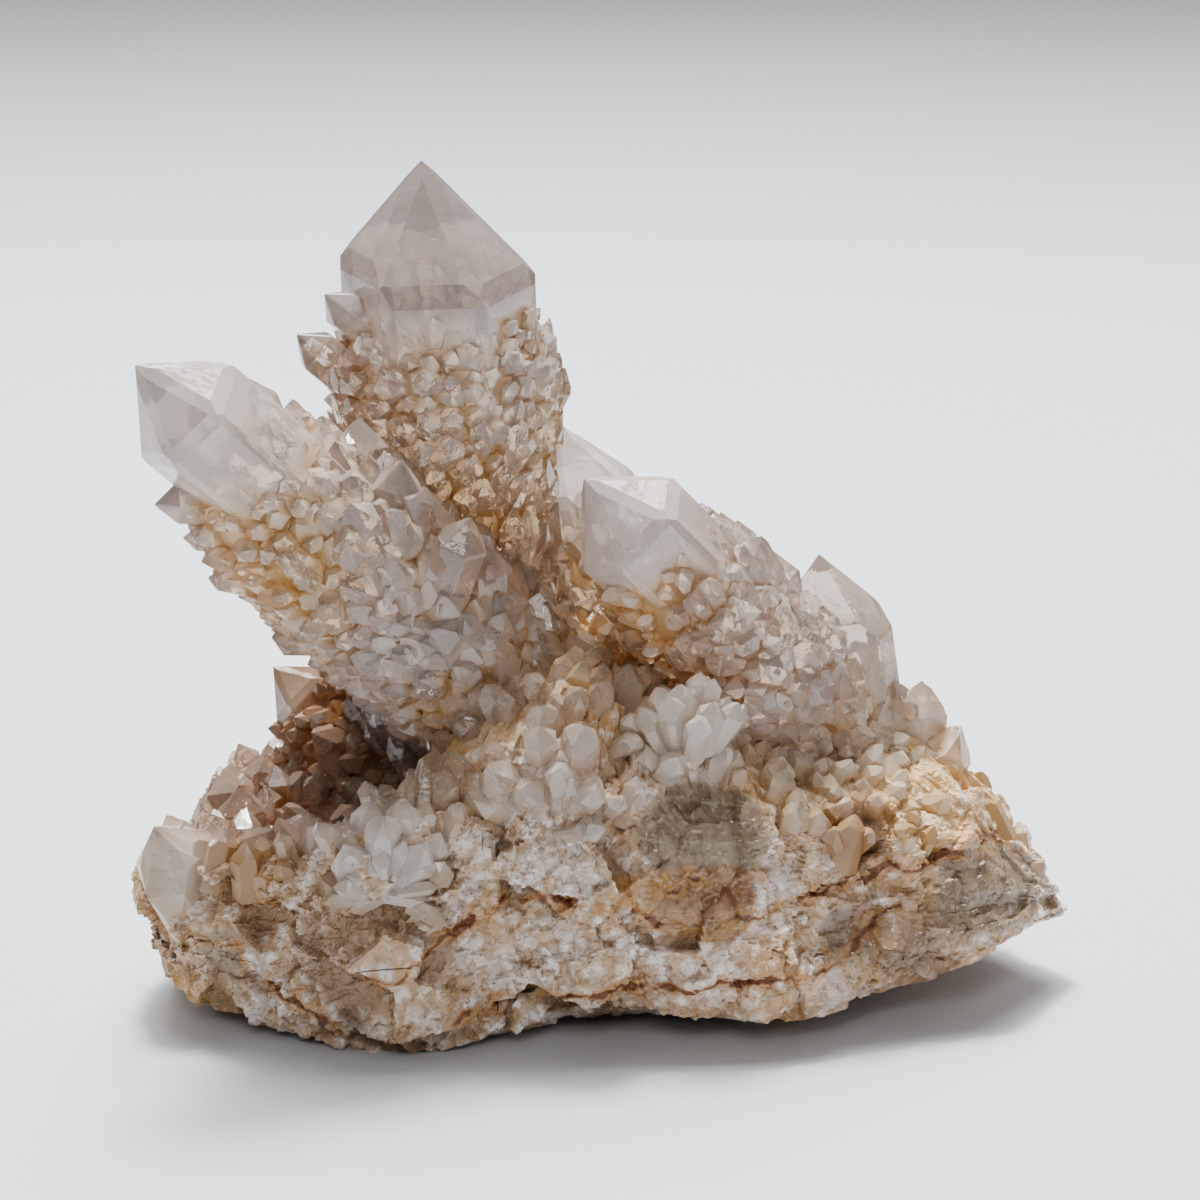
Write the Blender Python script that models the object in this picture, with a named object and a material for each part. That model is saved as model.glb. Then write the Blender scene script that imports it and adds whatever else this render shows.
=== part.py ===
"""Cactus quartz cluster: big quartz points, each in a sleeve of small points, on a broken block of vein quartz.

Lengths are in millimetres until a mesh is finished. +X is to the viewer's right, +Y is away, +Z is up.
"""

import math

import bmesh
import bpy
import numpy as np
from mathutils import Matrix, Vector, noise

MM = 0.001
SEED = 7
SOCKET_GAP = 0.35  # between a point's root and what it sits in
SMOOTH_ROOT = 0.35  # share of a root, from its inner end, that has no small points

# The rock's outline seen from above, corner by corner, round the middle at ROCK_MIDDLE
ROCK_MIDDLE = (0.0, 4.0)
ROCK_OUTLINE = (
    (48.5, 1.0), (42.0, -8.0), (31.0, -14.0), (18.0, -18.0), (4.0, -19.0), (-10.0, -20.5),
    (-22.0, -21.5), (-33.0, -18.0), (-42.0, -14.0), (-47.5, -7.0), (-46.0, 3.0), (-42.0, 12.0),
    (-32.0, 21.0), (-14.0, 27.0), (4.0, 29.5), (22.0, 26.0), (36.0, 18.0), (44.0, 9.0),
)
ROCK_TOP = 19.5
# Rises and dips of the rock's top: x, y, height, spread along x, spread along y
ROCK_BUMPS = (
    (-4.0, 5.0, 17.0, 17.0, 15.0),  # the hill that the big points grow from
    (0.0, -11.0, 9.5, 17.0, 7.0),  # its bulging front
    (-19.0, 14.0, 5.0, 9.0, 9.0),  # the rise behind the tallest point
    (27.0, 7.0, 11.5, 13.0, 14.0),  # the right shoulder
    (-37.0, -2.0, -1.5, 9.0, 9.0),  # the left lobe
    (-24.0, -4.0, -12.0, 8.0, 9.0),  # the hollow under the left point
    (-20.0, -20.0, 4.0, 9.0, 6.0),  # the lip in front of the hollow
    (52.0, 0.0, -9.0, 12.0, 30.0),  # the thin right end
    (-43.0, 4.0, -4.6, 7.0, 12.0),  # the low left end
)
# The rock's side view, the same in every direction: how far up the ball that it starts as, from 0 at the
# bottom to 1 at the top, then the share of the reach to the outline, then the share of the height
ROCK_PROFILE = (
    (0.00, 0.00, 0.00), (0.17, 0.91, 0.00), (0.23, 0.98, 0.10), (0.30, 1.00, 0.26), (0.37, 0.98, 0.42),
    (0.44, 0.99, 0.58), (0.50, 0.96, 0.76), (0.55, 0.93, 0.92), (0.61, 0.84, 1.00), (1.00, 0.00, 1.00),
)
ROCK_LEAN = 0.16  # how far the rock's sides lean to the left with height
# Ledges and dents of the broken sides: x, y, z, push outwards, spread
ROCK_LEDGES = (
    (-21.0, -20.0, 10.0, 2.0, 7.0), (-8.0, -20.0, 7.0, -2.2, 6.0), (4.0, -19.0, 14.0, 1.6, 7.0),
    (17.0, -18.0, 6.0, 1.8, 7.0), (24.0, -15.0, 16.0, -2.0, 6.0), (36.0, -11.0, 8.0, 1.8, 7.0),
    (-36.0, -17.0, 8.0, 1.2, 6.0), (-48.0, -6.0, 4.0, -3.6, 7.0), (-44.0, 6.0, 10.0, -2.0, 8.0),
    (-20.0, 25.0, 9.0, 2.2, 9.0), (8.0, 29.0, 12.0, -2.4, 8.0), (28.0, 23.0, 8.0, 2.0, 9.0),
)
REST_SPOT = (-5.0, 1.0)  # middle of the flat spot that the rock rests on
REST_HALF = (17.0, 13.0)
UNDERSIDE_RISE = 2.5
# Rises and dips of the underside's edge: x, y, height, spread along x, spread along y
UNDERSIDE_BUMPS = (
    (14.0, -20.0, 3.6, 20.0, 11.0), (-24.0, -20.0, -1.5, 10.0, 8.0), (39.0, -6.0, 3.4, 10.0, 9.0),
    (1.0, -20.0, 1.9, 8.0, 8.0), (-41.0, -9.0, -1.5, 6.0, 6.0),
)
UNDERSIDE_SINK = 0.9  # how deep the flat spot cuts into the round underside
CUT_SIZE = 150.0  # side of the block that cuts it
CRAG = 1.3  # height of the broken lumps on the rock
CRAG_SIZE = 5.0
BARE_HEIGHT = 0.86  # share of the rock's height below which it is broken and has no small points
ROCK_LIFT = (1.4, 3.0)  # shortest and tallest small point on the rock
ROCK_ROUNDS = 5  # rounds of subdivision of the ball that the rock starts as
BARE_SHARE = 0.20  # share of the faces that stay where the rock is broken and bare

# Big points. root and tip: ends of the axis. depth: how far the root runs on into the rock. crystal: radius of
# the bare crystal. pyramid: height of its six-sided end. bare: length that no small points cover. sleeve: radii
# of the sleeve from root to bare tip. columns: net lines along the sleeve, a multiple of three. roll: turn round
# the axis. apex: how far the very tip is off the axis. beside: big points that it gives way to at its root.
BIG_POINTS = {
    "left_point": dict(
        root=(-11.9, -2.0, 34.0), tip=(-44.0, -18.0, 67.4), depth=11.0, crystal=6.5, pyramid=8.0, bare=14.0,
        sleeve=(8.4, 8.8, 9.0, 9.0, 8.6, 7.8, 6.4), columns=21, roll=10.0, apex=(1.6, 0.8), beside=(),
    ),
    "tall_point": dict(
        root=(-14.5, 8.0, 34.3), tip=(-16.0, 2.0, 84.5), depth=12.0, crystal=10.2, pyramid=11.0, bare=15.5,
        sleeve=(10.0, 10.0, 8.6, 9.8, 10.5, 10.3, 9.2), columns=24, roll=14.0, apex=(-1.1, 0.0),
        beside=("left_point",),
    ),
    "right_point": dict(
        root=(23.9, 4.0, 25.3), tip=(-1.9, -8.0, 54.3), depth=10.0, crystal=6.5, pyramid=8.0, bare=11.5,
        sleeve=(7.2, 7.4, 7.4, 7.0, 6.2), columns=18, roll=20.0, apex=(0.8, 0.6), beside=(),
    ),
    "back_point": dict(
        root=(4.5, 17.0, 24.0), tip=(-3.4, 18.5, 54.2), depth=8.0, crystal=6.4, pyramid=7.0, bare=11.0,
        sleeve=(7.2, 7.6, 7.2, 6.4), columns=15, roll=5.0, apex=(0.0, 0.0), beside=("tall_point",),
    ),
    "shaded_point": dict(
        root=(-20.5, 9.5, 18.0), tip=(-33.6, 13.0, 29.8), depth=6.0, crystal=4.2, pyramid=5.0, bare=6.0,
        sleeve=(6.0, 6.6, 6.2, 4.6), columns=12, roll=0.0, apex=(0.0, 0.0), beside=("left_point", "tall_point"),
    ),
}
SLEEVE_LIFT = (1.2, 2.7)  # shortest and tallest small point on a sleeve
SLEEVE_LEAN = 0.55  # how far small points lean towards the big point's tip

# Single crystals that are joined to a big piece: foot, tip, radius
FLANKS = {
    "right_point": (
        ((27.2, 4.5, 26.0), (22.4, 4.0, 44.5), 4.8),
        ((19.0, 1.0, 33.0), (17.0, 0.0, 46.3), 2.9),
        ((13.0, -1.0, 38.0), (10.2, -2.0, 50.6), 3.0),
    ),
    "tall_point": (
        ((-19.0, 4.0, 58.0), (-29.5, 1.0, 67.5), 2.4),
        ((-18.0, 2.0, 64.0), (-26.5, -2.0, 72.0), 2.2),
    ),
    "left_point": (
        ((-29.0, -10.0, 54.0), (-33.2, -12.0, 65.8), 2.2),
        ((-21.5, -9.0, 45.0), (-18.5, -12.8, 58.0), 2.8),
        ((-16.5, -9.0, 40.0), (-12.0, -13.5, 52.5), 2.8),
        ((-35.0, -14.0, 54.0), (-41.8, -16.5, 54.4), 2.0),
    ),
}
# Fans of crystals on the rock: the foot that they share, their tips, their radius
FANS = (
    (  # the clear petals low on the hill's front
        (8.5, -13.0, 21.0),
        ((3.5, -20.0, 30.5), (6.5, -20.5, 33.0), (9.8, -20.0, 34.2), (13.0, -19.5, 33.0), (15.5, -18.0, 31.0)),
        2.3,
    ),
    (  # the mound of points to the left of the petals
        (-4.0, -11.0, 20.0),
        (
            (-10.5, -20.0, 29.5), (-7.0, -21.5, 28.0), (-3.5, -21.5, 30.0), (0.0, -22.0, 28.0),
            (-5.5, -19.5, 33.5), (-1.0, -20.0, 33.8), (-12.5, -18.5, 26.5),
        ),
        2.3,
    ),
    (  # the half-buried rosette on the front face
        (-20.5, -15.0, 11.0),
        ((-24.2, -21.5, 22.4), (-20.3, -22.5, 25.6), (-16.3, -22.0, 22.6), (-26.8, -19.5, 18.8)),
        2.6,
    ),
    ((-35.5, -2.0, 7.0), ((-39.3, -6.5, 20.8), (-35.4, -3.5, 22.4), (-37.5, 4.0, 22.5)), 3.2),
    ((-31.0, -7.0, 6.0), ((-29.5, -12.5, 19.0), (-34.5, -14.0, 18.5)), 3.1),
    ((32.0, 3.0, 16.0), ((33.0, 3.0, 31.5), (37.0, 2.0, 27.0)), 3.2),
)
TIP_SHARE = 1.27  # height of a quartz crystal's pyramid over its radius
CRYSTAL_ROLL = 17.0  # turn round its axis from one small crystal to the next
CORNER_CRYSTAL = dict(root=(-37.5, -6.0, 6.0), tip=(-43.5, -13.0, 21.5), radius=5.2, pyramid=2.2, roll=25.0)

CLEAR_QUARTZ = ((0.80, 0.76, 0.77), 0.15)
STAINED_QUARTZ = ((0.62, 0.50, 0.40), 0.25)
VEIN_ROCK = ((0.60, 0.55, 0.50), 0.55)


def collection_in(parent, name):
    """A new collection inside another."""
    collection = bpy.data.collections.new(name)
    parent.children.link(collection)
    return collection


def new_scene():
    """Empties the scene and returns collections for the cluster's pieces and for the helpers."""
    for obj in list(bpy.data.objects):
        bpy.data.objects.remove(obj)
    root = bpy.context.scene.collection
    return collection_in(root, "cactus_quartz_cluster"), collection_in(root, "helpers")


def stone(name, colour, roughness):
    """A plain stone material."""
    material = bpy.data.materials.new(name)
    material.use_nodes = True
    shader = material.node_tree.nodes["Principled BSDF"]
    shader.inputs["Base Color"].default_value = (*colour, 1.0)
    shader.inputs["Roughness"].default_value = roughness
    shader.inputs["Metallic"].default_value = 0.0
    return material


def standing(foot, tip, roll=0.0):
    """The place of a thing built along +Z, stood on foot and turned towards tip."""
    axis = Vector(tip) - Vector(foot)
    turn = axis.to_track_quat("Z", "Y").to_matrix().to_4x4()
    return Matrix.Translation(foot) @ turn @ Matrix.Rotation(math.radians(roll), 4, "Z")


def finished(name, bm, collection, material, place, helper=False):
    """Turns a bmesh in millimetres into a named object in metres, standing at place."""
    bmesh.ops.recalc_face_normals(bm, faces=bm.faces)
    bmesh.ops.scale(bm, vec=(MM, MM, MM), verts=bm.verts)
    mesh = bpy.data.meshes.new(name)
    bm.to_mesh(mesh)
    bm.free()
    mesh.materials.append(material)
    obj = bpy.data.objects.new(name, mesh)
    collection.objects.link(obj)
    obj.location = place.to_translation() * MM
    obj.rotation_euler = place.to_euler()
    if helper:
        obj.hide_render = True
        obj.display_type = "WIRE"
    return obj


def crystal_mesh(radius, length, pyramid, apex=(0.0, 0.0)):
    """A six-sided prism along +Z from the origin, whose top face is poked up to a point."""
    bm = bmesh.new()
    straight = length - pyramid
    middle = Matrix.Translation((0.0, 0.0, straight / 2))
    bmesh.ops.create_cone(
        bm, cap_ends=True, segments=6, radius1=radius, radius2=radius, depth=straight, matrix=middle
    )
    top = max(bm.faces, key=lambda face: face.calc_center_median().z)
    poked = bmesh.ops.poke(bm, faces=[top], offset=pyramid)
    poked["verts"][0].co += Vector((*apex, 0.0))
    return bm


def single_crystals(name, rows, group, material, gap=0.0):
    """One helper in group for each small crystal, made larger all round by gap."""
    for number, (foot, tip, radius) in enumerate(rows, start=1):
        place = standing(foot, tip, CRYSTAL_ROLL * number)
        length = (Vector(tip) - Vector(foot)).length + 2 * gap
        bm = crystal_mesh(radius + gap, length, (radius + gap) * TIP_SHARE)
        bmesh.ops.translate(bm, vec=(0.0, 0.0, -gap), verts=bm.verts)
        finished(f"{name}_{number:02d}", bm, group, material, place, helper=True)


def boolean(obj, operation, cutter):
    """Joins or cuts obj with an object or with a whole collection."""
    modifier = obj.modifiers.new(operation.lower(), "BOOLEAN")
    modifier.operation = operation
    modifier.solver = "EXACT"
    if isinstance(cutter, bpy.types.Collection):
        modifier.operand_type = "COLLECTION"
        modifier.collection = cutter
    else:
        modifier.object = cutter
    return modifier


def radius_at(radii, share):
    """The sleeve's radius at a share of its length, eased through evenly spaced radii."""
    place = min(max(share, 0.0), 1.0) * (len(radii) - 1)
    low = min(int(place), len(radii) - 2)
    t = place - low
    t = t * t * (3 - 2 * t)
    return radii[low] * (1 - t) + radii[low + 1] * t


def sleeve(name, point, collection, material, gap=0.0):
    """A tube of small six-sided points round a big one, made larger all round by gap.

    A sheared grid is wrapped round the axis, so that its triangles are nearly equilateral. Every third
    vertex of such a net has six neighbours that stay down, so lifting it makes a six-sided point.
    """
    columns = point["columns"]
    depth = point["depth"]
    length = (Vector(point["tip"]) - Vector(point["root"])).length - point["bare"] + depth
    smooth = depth * SMOOTH_ROOT
    edge = 2 * math.pi * max(point["sleeve"]) / columns
    rows = 1 + round((length - smooth) / (edge * math.sqrt(3) / 2))
    dice = np.random.default_rng(SEED + columns).random((rows + 1, columns, 3))
    bm = bmesh.new()
    bmesh.ops.create_grid(bm, x_segments=columns, y_segments=rows, size=0.5)
    for vertex in bm.verts:
        column = round((vertex.co.x + 0.5) * columns)
        row = round((vertex.co.y + 0.5) * rows)
        first, second, third = dice[row, column % columns]
        along = smooth + (row - 1) / (rows - 1) * (length - smooth) if row else -gap
        radius = radius_at(point["sleeve"], (along - depth) / (length - depth)) + gap
        angle = (column + row / 2) / columns * 2 * math.pi
        if 1 < row < rows and (column - row) % 3 == 0:
            lift = SLEEVE_LIFT[0] + first * (SLEEVE_LIFT[1] - SLEEVE_LIFT[0])
            radius += lift
            along += lift * SLEEVE_LEAN
            angle += (second - 0.5) * 0.6 * edge / radius
        elif 1 < row < rows:
            radius += (first - 0.6) * 0.6
            along += (third - 0.5) * 0.4 * edge
        vertex.co = (radius * math.cos(angle), radius * math.sin(angle), along - depth)
    bmesh.ops.remove_doubles(bm, verts=bm.verts, dist=0.01)
    bmesh.ops.holes_fill(bm, edges=[edge for edge in bm.edges if edge.is_boundary], sides=0)
    bmesh.ops.triangulate(bm, faces=bm.faces, quad_method="SHORT_EDGE")
    place = standing(point["root"], point["tip"], point["roll"])
    return finished(name, bm, collection, material, place, helper=gap > 0)


def big_point(name, point, cluster, helpers, material):
    """A big bare crystal joined to its sleeve of small points and to the larger ones on its flank."""
    obj = sleeve(name, point, cluster, material)
    length = (Vector(point["tip"]) - Vector(point["root"])).length
    bm = crystal_mesh(point["crystal"], length, point["pyramid"], point["apex"])
    place = standing(point["root"], point["tip"], point["roll"])
    core = finished(f"{name}_crystal", bm, helpers, material, place, helper=True)
    boolean(obj, "UNION", core)
    flank = collection_in(helpers, f"{name}_flank")
    single_crystals(f"{name}_flank", FLANKS.get(name, ()), flank, material)
    if flank.objects:
        boolean(obj, "UNION", flank)
    return obj


def socket(name, point, holes, material):
    """The cutters for the hole that a big point needs in the rock and in a later point: its own shape, larger."""
    group = collection_in(holes, f"{name}_socket")
    sleeve(f"{name}_socket_sleeve", point, group, material, gap=SOCKET_GAP)
    single_crystals(f"{name}_socket_flank", FLANKS.get(name, ()), group, material, gap=SOCKET_GAP)
    return group


def outline_radius(angle):
    """Distance from the rock's middle to its outline in a direction, straight from corner to corner."""
    corners = sorted(
        (math.atan2(y - ROCK_MIDDLE[1], x - ROCK_MIDDLE[0]) % (2 * math.pi), x, y) for x, y in ROCK_OUTLINE
    )
    angles = [corner[0] for corner in corners]
    reaches = [math.hypot(x - ROCK_MIDDLE[0], y - ROCK_MIDDLE[1]) for _, x, y in corners]
    return float(np.interp(angle, angles, reaches, period=2 * math.pi))


def swell(bumps, x, y):
    """The height that round rises and dips give a place."""
    return sum(
        height * math.exp(-(((x - bump_x) / spread_x) ** 2) - ((y - bump_y) / spread_y) ** 2)
        for bump_x, bump_y, height, spread_x, spread_y in bumps
    )


def rock_top(x, y):
    """Height of the rock's top: a level with round rises and dips on it."""
    return ROCK_TOP + swell(ROCK_BUMPS, x, y)


def rock_underside(x, y):
    """Height of the rock's underside, which rises all round from a small flat spot."""
    out = math.hypot((x - REST_SPOT[0]) / REST_HALF[0], (y - REST_SPOT[1]) / REST_HALF[1])
    return UNDERSIDE_RISE * max(0.0, out - 1) ** 1.2 - UNDERSIDE_SINK + swell(UNDERSIDE_BUMPS, x, y)


def rock_point(direction):
    """Where the rock's surface lies in a direction of a unit ball, and the share of its height there."""
    levels, reaches, heights = zip(*ROCK_PROFILE)
    level = 1 - math.acos(min(max(direction.z, -1.0), 1.0)) / math.pi
    angle = math.atan2(direction.y, direction.x)
    reach_share = float(np.interp(level, levels, reaches))
    around = outline_radius(angle) * reach_share
    share = float(np.interp(level, levels, heights))
    x = ROCK_MIDDLE[0] + around * math.cos(angle)
    y = ROCK_MIDDLE[1] + around * math.sin(angle)
    low = rock_underside(x, y)
    z = low + (rock_top(x, y) - low) * share
    side = reach_share * reach_share
    return Vector((x - ROCK_LEAN * side * (z - ROCK_TOP / 2), y, z)), share


def ledges(place):
    """The larger steps and dents of the broken sides, as a push outwards."""
    return sum(
        push * math.exp(-(((place - Vector(middle)).length / spread) ** 2))
        for *middle, push, spread in ROCK_LEDGES
    )


def crag(place):
    """The broken lumps: sharp-edged noise, as a push in and out."""
    ridged = 1 - 2 * abs(noise.noise(place / CRAG_SIZE))
    return CRAG * (0.6 * ridged + 0.6 * noise.noise(place / CRAG_SIZE * 2.3))


def lift_points(bm, shares, sockets):
    """Lifts every vertex with no lifted neighbour, which turns the rock's top into small points."""
    lifted = set()
    dice = np.random.default_rng(SEED).random((len(bm.verts), 2))
    bm.normal_update()
    for vertex in bm.verts:
        near = any(edge.other_vert(vertex).index in lifted for edge in vertex.link_edges)
        if near or shares[vertex.index] < BARE_HEIGHT:
            continue
        if any(inside_socket(vertex.co, point) for point in sockets):
            continue
        lifted.add(vertex.index)
        lift = ROCK_LIFT[0] + dice[vertex.index, 0] * (ROCK_LIFT[1] - ROCK_LIFT[0])
        vertex.co += (vertex.normal + Vector((0.0, 0.0, 0.35))).normalized() * lift


def inside_socket(place, point):
    """Whether a place is in or right beside the root of a big point."""
    root, tip = Vector(point["root"]), Vector(point["tip"])
    axis = (tip - root).normalized()
    along = (place - root).dot(axis)
    return along > -point["depth"] - 2 and (place - root - axis * along).length < point["sleeve"][0] + 3.0


def flat_cut(helpers, material):
    """A block under the rock that cuts off what would be below the surface it rests on."""
    bm = bmesh.new()
    bmesh.ops.create_cube(bm, size=CUT_SIZE, matrix=Matrix.Translation((0.0, 0.0, -CUT_SIZE / 2)))
    return finished("flat_cut", bm, helpers, material, Matrix.Identity(4), helper=True)


def rock(name, cluster, helpers, material):
    """The broken block: a ball shaped to the outline, top and underside, cut off flat where it rests."""
    bm = bmesh.new()
    bmesh.ops.create_icosphere(bm, subdivisions=ROCK_ROUNDS, radius=1.0)
    shares = []
    for vertex in bm.verts:
        outwards = vertex.co.normalized()
        place, share = rock_point(outwards)
        place += Vector((outwards.x, outwards.y, outwards.z * 0.5)) * (crag(place) + ledges(place))
        vertex.co = place
        shares.append(share)
    lift_points(bm, shares, BIG_POINTS.values())
    bare = [index for index, share in enumerate(shares) if share < BARE_HEIGHT]
    obj = finished(name, bm, cluster, material, Matrix.Identity(4))
    obj.vertex_groups.new(name="bare").add(bare, 1.0, "REPLACE")
    fewer = obj.modifiers.new("fewer_faces", "DECIMATE")
    fewer.vertex_group = "bare"
    fewer.ratio = 1 - (1 - BARE_SHARE) * len(bare) / len(shares)
    rows = [(foot, tip, radius) for foot, tips, radius in FANS for tip in tips]
    fans = collection_in(helpers, "fans")
    single_crystals("rock_crystal", rows, fans, material)
    boolean(obj, "UNION", fans)
    boolean(obj, "DIFFERENCE", flat_cut(helpers, material))
    return obj


def corner_crystal(name, collection, material, gap=0.0):
    """The blunt broken crystal at the rock's left end."""
    foot, tip = Vector(CORNER_CRYSTAL["root"]), Vector(CORNER_CRYSTAL["tip"])
    axis = (tip - foot).normalized()
    foot -= axis * gap
    bm = crystal_mesh(CORNER_CRYSTAL["radius"] + gap, (tip - foot).length, CORNER_CRYSTAL["pyramid"])
    return finished(name, bm, collection, material, standing(foot, tip, CORNER_CRYSTAL["roll"]), helper=gap > 0)


def without_chips(obj):
    """Makes the Booleans' result the object's own mesh, without the chips that a cut may leave loose."""
    shown = obj.evaluated_get(bpy.context.evaluated_depsgraph_get())
    mesh = bpy.data.meshes.new_from_object(shown)
    bm = bmesh.new()
    bm.from_mesh(mesh)
    unseen = set(bm.verts)
    bodies = []
    while unseen:
        front = [unseen.pop()]
        body = list(front)
        while front:
            vertex = front.pop()
            reached = {edge.other_vert(vertex) for edge in vertex.link_edges} & unseen
            unseen -= reached
            front += reached
            body += reached
        bodies.append(body)
    bodies.sort(key=len)
    chips = [vertex for body in bodies[:-1] for vertex in body]
    bmesh.ops.delete(bm, geom=chips, context="VERTS")
    bm.to_mesh(mesh)
    bm.free()
    obj.modifiers.clear()
    obj.data = mesh


def stand_on_origin(pieces):
    """Hangs the pieces on an empty that puts the middle of their box over the origin."""
    places = np.array([obj.matrix_world @ vertex.co for obj in pieces for vertex in obj.data.vertices])
    middle = (places.min(axis=0) + places.max(axis=0)) / 2
    empty = bpy.data.objects.new("cluster_origin", None)
    pieces[0].users_collection[0].objects.link(empty)
    empty.location = (-middle[0], -middle[1], -places[:, 2].min())
    for obj in pieces:
        obj.parent = empty


def main():
    cluster, helpers = new_scene()
    clear = stone("clear_quartz", *CLEAR_QUARTZ)
    stained = stone("stained_quartz", *STAINED_QUARTZ)
    vein_rock = stone("vein_rock", *VEIN_ROCK)
    holes = collection_in(helpers, "sockets")
    sockets = {}
    pieces = []
    for name, point in BIG_POINTS.items():
        piece = big_point(name, point, cluster, helpers, stained if name == "shaded_point" else clear)
        for neighbour in point["beside"]:
            boolean(piece, "DIFFERENCE", sockets[neighbour])
        sockets[name] = socket(name, point, holes, vein_rock)
        pieces.append(piece)
    pieces.append(corner_crystal("corner_crystal", cluster, clear))
    corner_crystal("corner_crystal_socket", holes, vein_rock, gap=SOCKET_GAP)
    block = rock("rock", cluster, helpers, vein_rock)
    boolean(block, "DIFFERENCE", holes)
    pieces.append(block)
    bpy.context.view_layer.update()
    for piece in pieces:
        without_chips(piece)
    stand_on_origin(pieces)


main()
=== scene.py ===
# %% [markdown]
# # Cactus quartz cluster
# A cactus quartz is a large quartz crystal that was later grown over by hundreds of small ones. This cluster
# has five of them on a block of vein quartz. The imported solids give the place and the size of each. Here each
# solid is replaced by a mesh with the small crystals, the broken rock and the stains of the real thing, with
# some painted shade in the gaps, dents and hollows.

# %% The frame
import itertools
import math

import bpy
import numpy as np
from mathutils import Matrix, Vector


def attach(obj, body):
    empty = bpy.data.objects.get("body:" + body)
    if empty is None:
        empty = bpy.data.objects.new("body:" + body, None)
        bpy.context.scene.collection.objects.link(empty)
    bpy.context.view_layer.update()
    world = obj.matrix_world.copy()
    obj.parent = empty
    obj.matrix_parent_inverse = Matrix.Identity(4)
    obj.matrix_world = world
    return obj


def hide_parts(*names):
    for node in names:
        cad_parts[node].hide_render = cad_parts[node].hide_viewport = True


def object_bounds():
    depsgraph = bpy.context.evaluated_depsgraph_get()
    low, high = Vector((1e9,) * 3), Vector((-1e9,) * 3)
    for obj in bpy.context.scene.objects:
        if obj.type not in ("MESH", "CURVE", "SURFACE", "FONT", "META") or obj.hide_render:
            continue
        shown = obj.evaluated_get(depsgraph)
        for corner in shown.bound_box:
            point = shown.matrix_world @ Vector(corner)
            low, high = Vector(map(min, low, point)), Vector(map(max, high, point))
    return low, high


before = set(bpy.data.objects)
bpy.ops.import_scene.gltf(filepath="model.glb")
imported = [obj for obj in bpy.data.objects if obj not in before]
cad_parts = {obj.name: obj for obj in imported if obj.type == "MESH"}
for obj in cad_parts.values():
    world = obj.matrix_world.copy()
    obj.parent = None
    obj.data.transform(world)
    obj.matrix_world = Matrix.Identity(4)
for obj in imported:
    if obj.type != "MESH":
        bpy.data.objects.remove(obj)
CAD_BOX = [list(corner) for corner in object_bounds()]
MM = 0.001
print("solids:", sorted(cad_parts))

# %% [markdown]
# ## The crystals' places
# The five large points are kept in the same words and millimetres as in the solids: root and tip of the axis,
# the radius of the bare crystal, how much of its end is bare, and the radii of the sleeve of small crystals.
# The solids' frame is centred on the whole cluster, so the tallest corner of the tall point gives the shift.

# %% Large points and single crystals
POINTS = {
    "left_point": dict(
        root=(-11.9, -2.0, 34.0), tip=(-44.0, -18.0, 67.4), depth=11.0, crystal=6.5, bare=14.0,
        sleeve=(8.4, 8.8, 9.0, 9.0, 8.6, 7.8, 6.4), roll=10.0, apex=(1.6, 0.8), pyramid=8.0,
    ),
    "tall_point": dict(
        root=(-14.5, 8.0, 34.3), tip=(-16.0, 2.0, 84.5), depth=12.0, crystal=10.2, bare=15.5,
        sleeve=(10.0, 10.0, 8.6, 9.8, 10.5, 10.3, 9.2), roll=14.0, apex=(-1.1, 0.0), pyramid=11.0,
        shares=(1.09, 1.0, 0.87, 0.87, 1.0, 1.09), tone=1.0,
    ),
    "right_point": dict(
        root=(23.9, 4.0, 25.3), tip=(-1.9, -8.0, 54.3), depth=10.0, crystal=6.5, bare=11.5,
        sleeve=(7.2, 7.4, 7.4, 7.0, 6.2), roll=20.0, apex=(0.8, 0.6), pyramid=8.0,
    ),
    "back_point": dict(
        root=(4.5, 17.0, 24.0), tip=(-3.4, 18.5, 54.2), depth=8.0, crystal=6.4, bare=11.0,
        sleeve=(7.2, 7.6, 7.2, 6.4), roll=5.0, apex=(0.0, 0.0), pyramid=7.0,
    ),
    "shaded_point": dict(
        root=(-20.5, 9.5, 18.0), tip=(-33.6, 13.0, 29.8), depth=6.0, crystal=4.2, bare=6.0,
        sleeve=(6.0, 6.6, 6.2, 4.6), roll=0.0, apex=(0.0, 0.0), pyramid=5.0,
    ),
}
# Single crystals on the large ones: foot, tip, radius
FLANKS = {
    "right_point": (
        ((25.2, 4.5, 26.0), (22.4, 4.0, 44.5), 4.8, 20.0, (1.55, 1.1, 0.6, 0.5, 0.9, 1.2)),
        ((19.0, 1.0, 33.0), (17.0, 0.0, 46.3), 2.9, 10.0),
        ((13.0, -1.0, 38.0), (10.2, -2.0, 50.6), 3.0, 35.0),
    ),
    "tall_point": (
        ((-19.0, 4.0, 58.0), (-29.5, 1.0, 67.5), 2.4),
        ((-18.0, 2.0, 64.0), (-26.5, -2.0, 72.0), 2.2),
    ),
    "left_point": (
        ((-29.0, -10.0, 54.0), (-33.2, -12.0, 65.8), 2.2),
        ((-21.5, -9.0, 45.0), (-18.5, -12.8, 58.0), 2.8),
        ((-16.5, -9.0, 40.0), (-12.0, -13.5, 52.5), 2.8),
        ((-35.0, -14.0, 54.0), (-41.8, -16.5, 54.4), 2.0),
    ),
}


def axes_of(root, tip, roll=0.0):
    """Rows are a crystal's own X, Y and Z: Z runs from root to tip, and roll turns X and Y round it."""
    axis = Vector(tip) - Vector(root)
    turn = np.array(axis.to_track_quat("Z", "Y").to_matrix()).T
    c, s = math.cos(math.radians(roll)), math.sin(math.radians(roll))
    return np.array([[c, s, 0.0], [-s, c, 0.0], [0.0, 0.0, 1.0]]) @ turn


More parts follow.
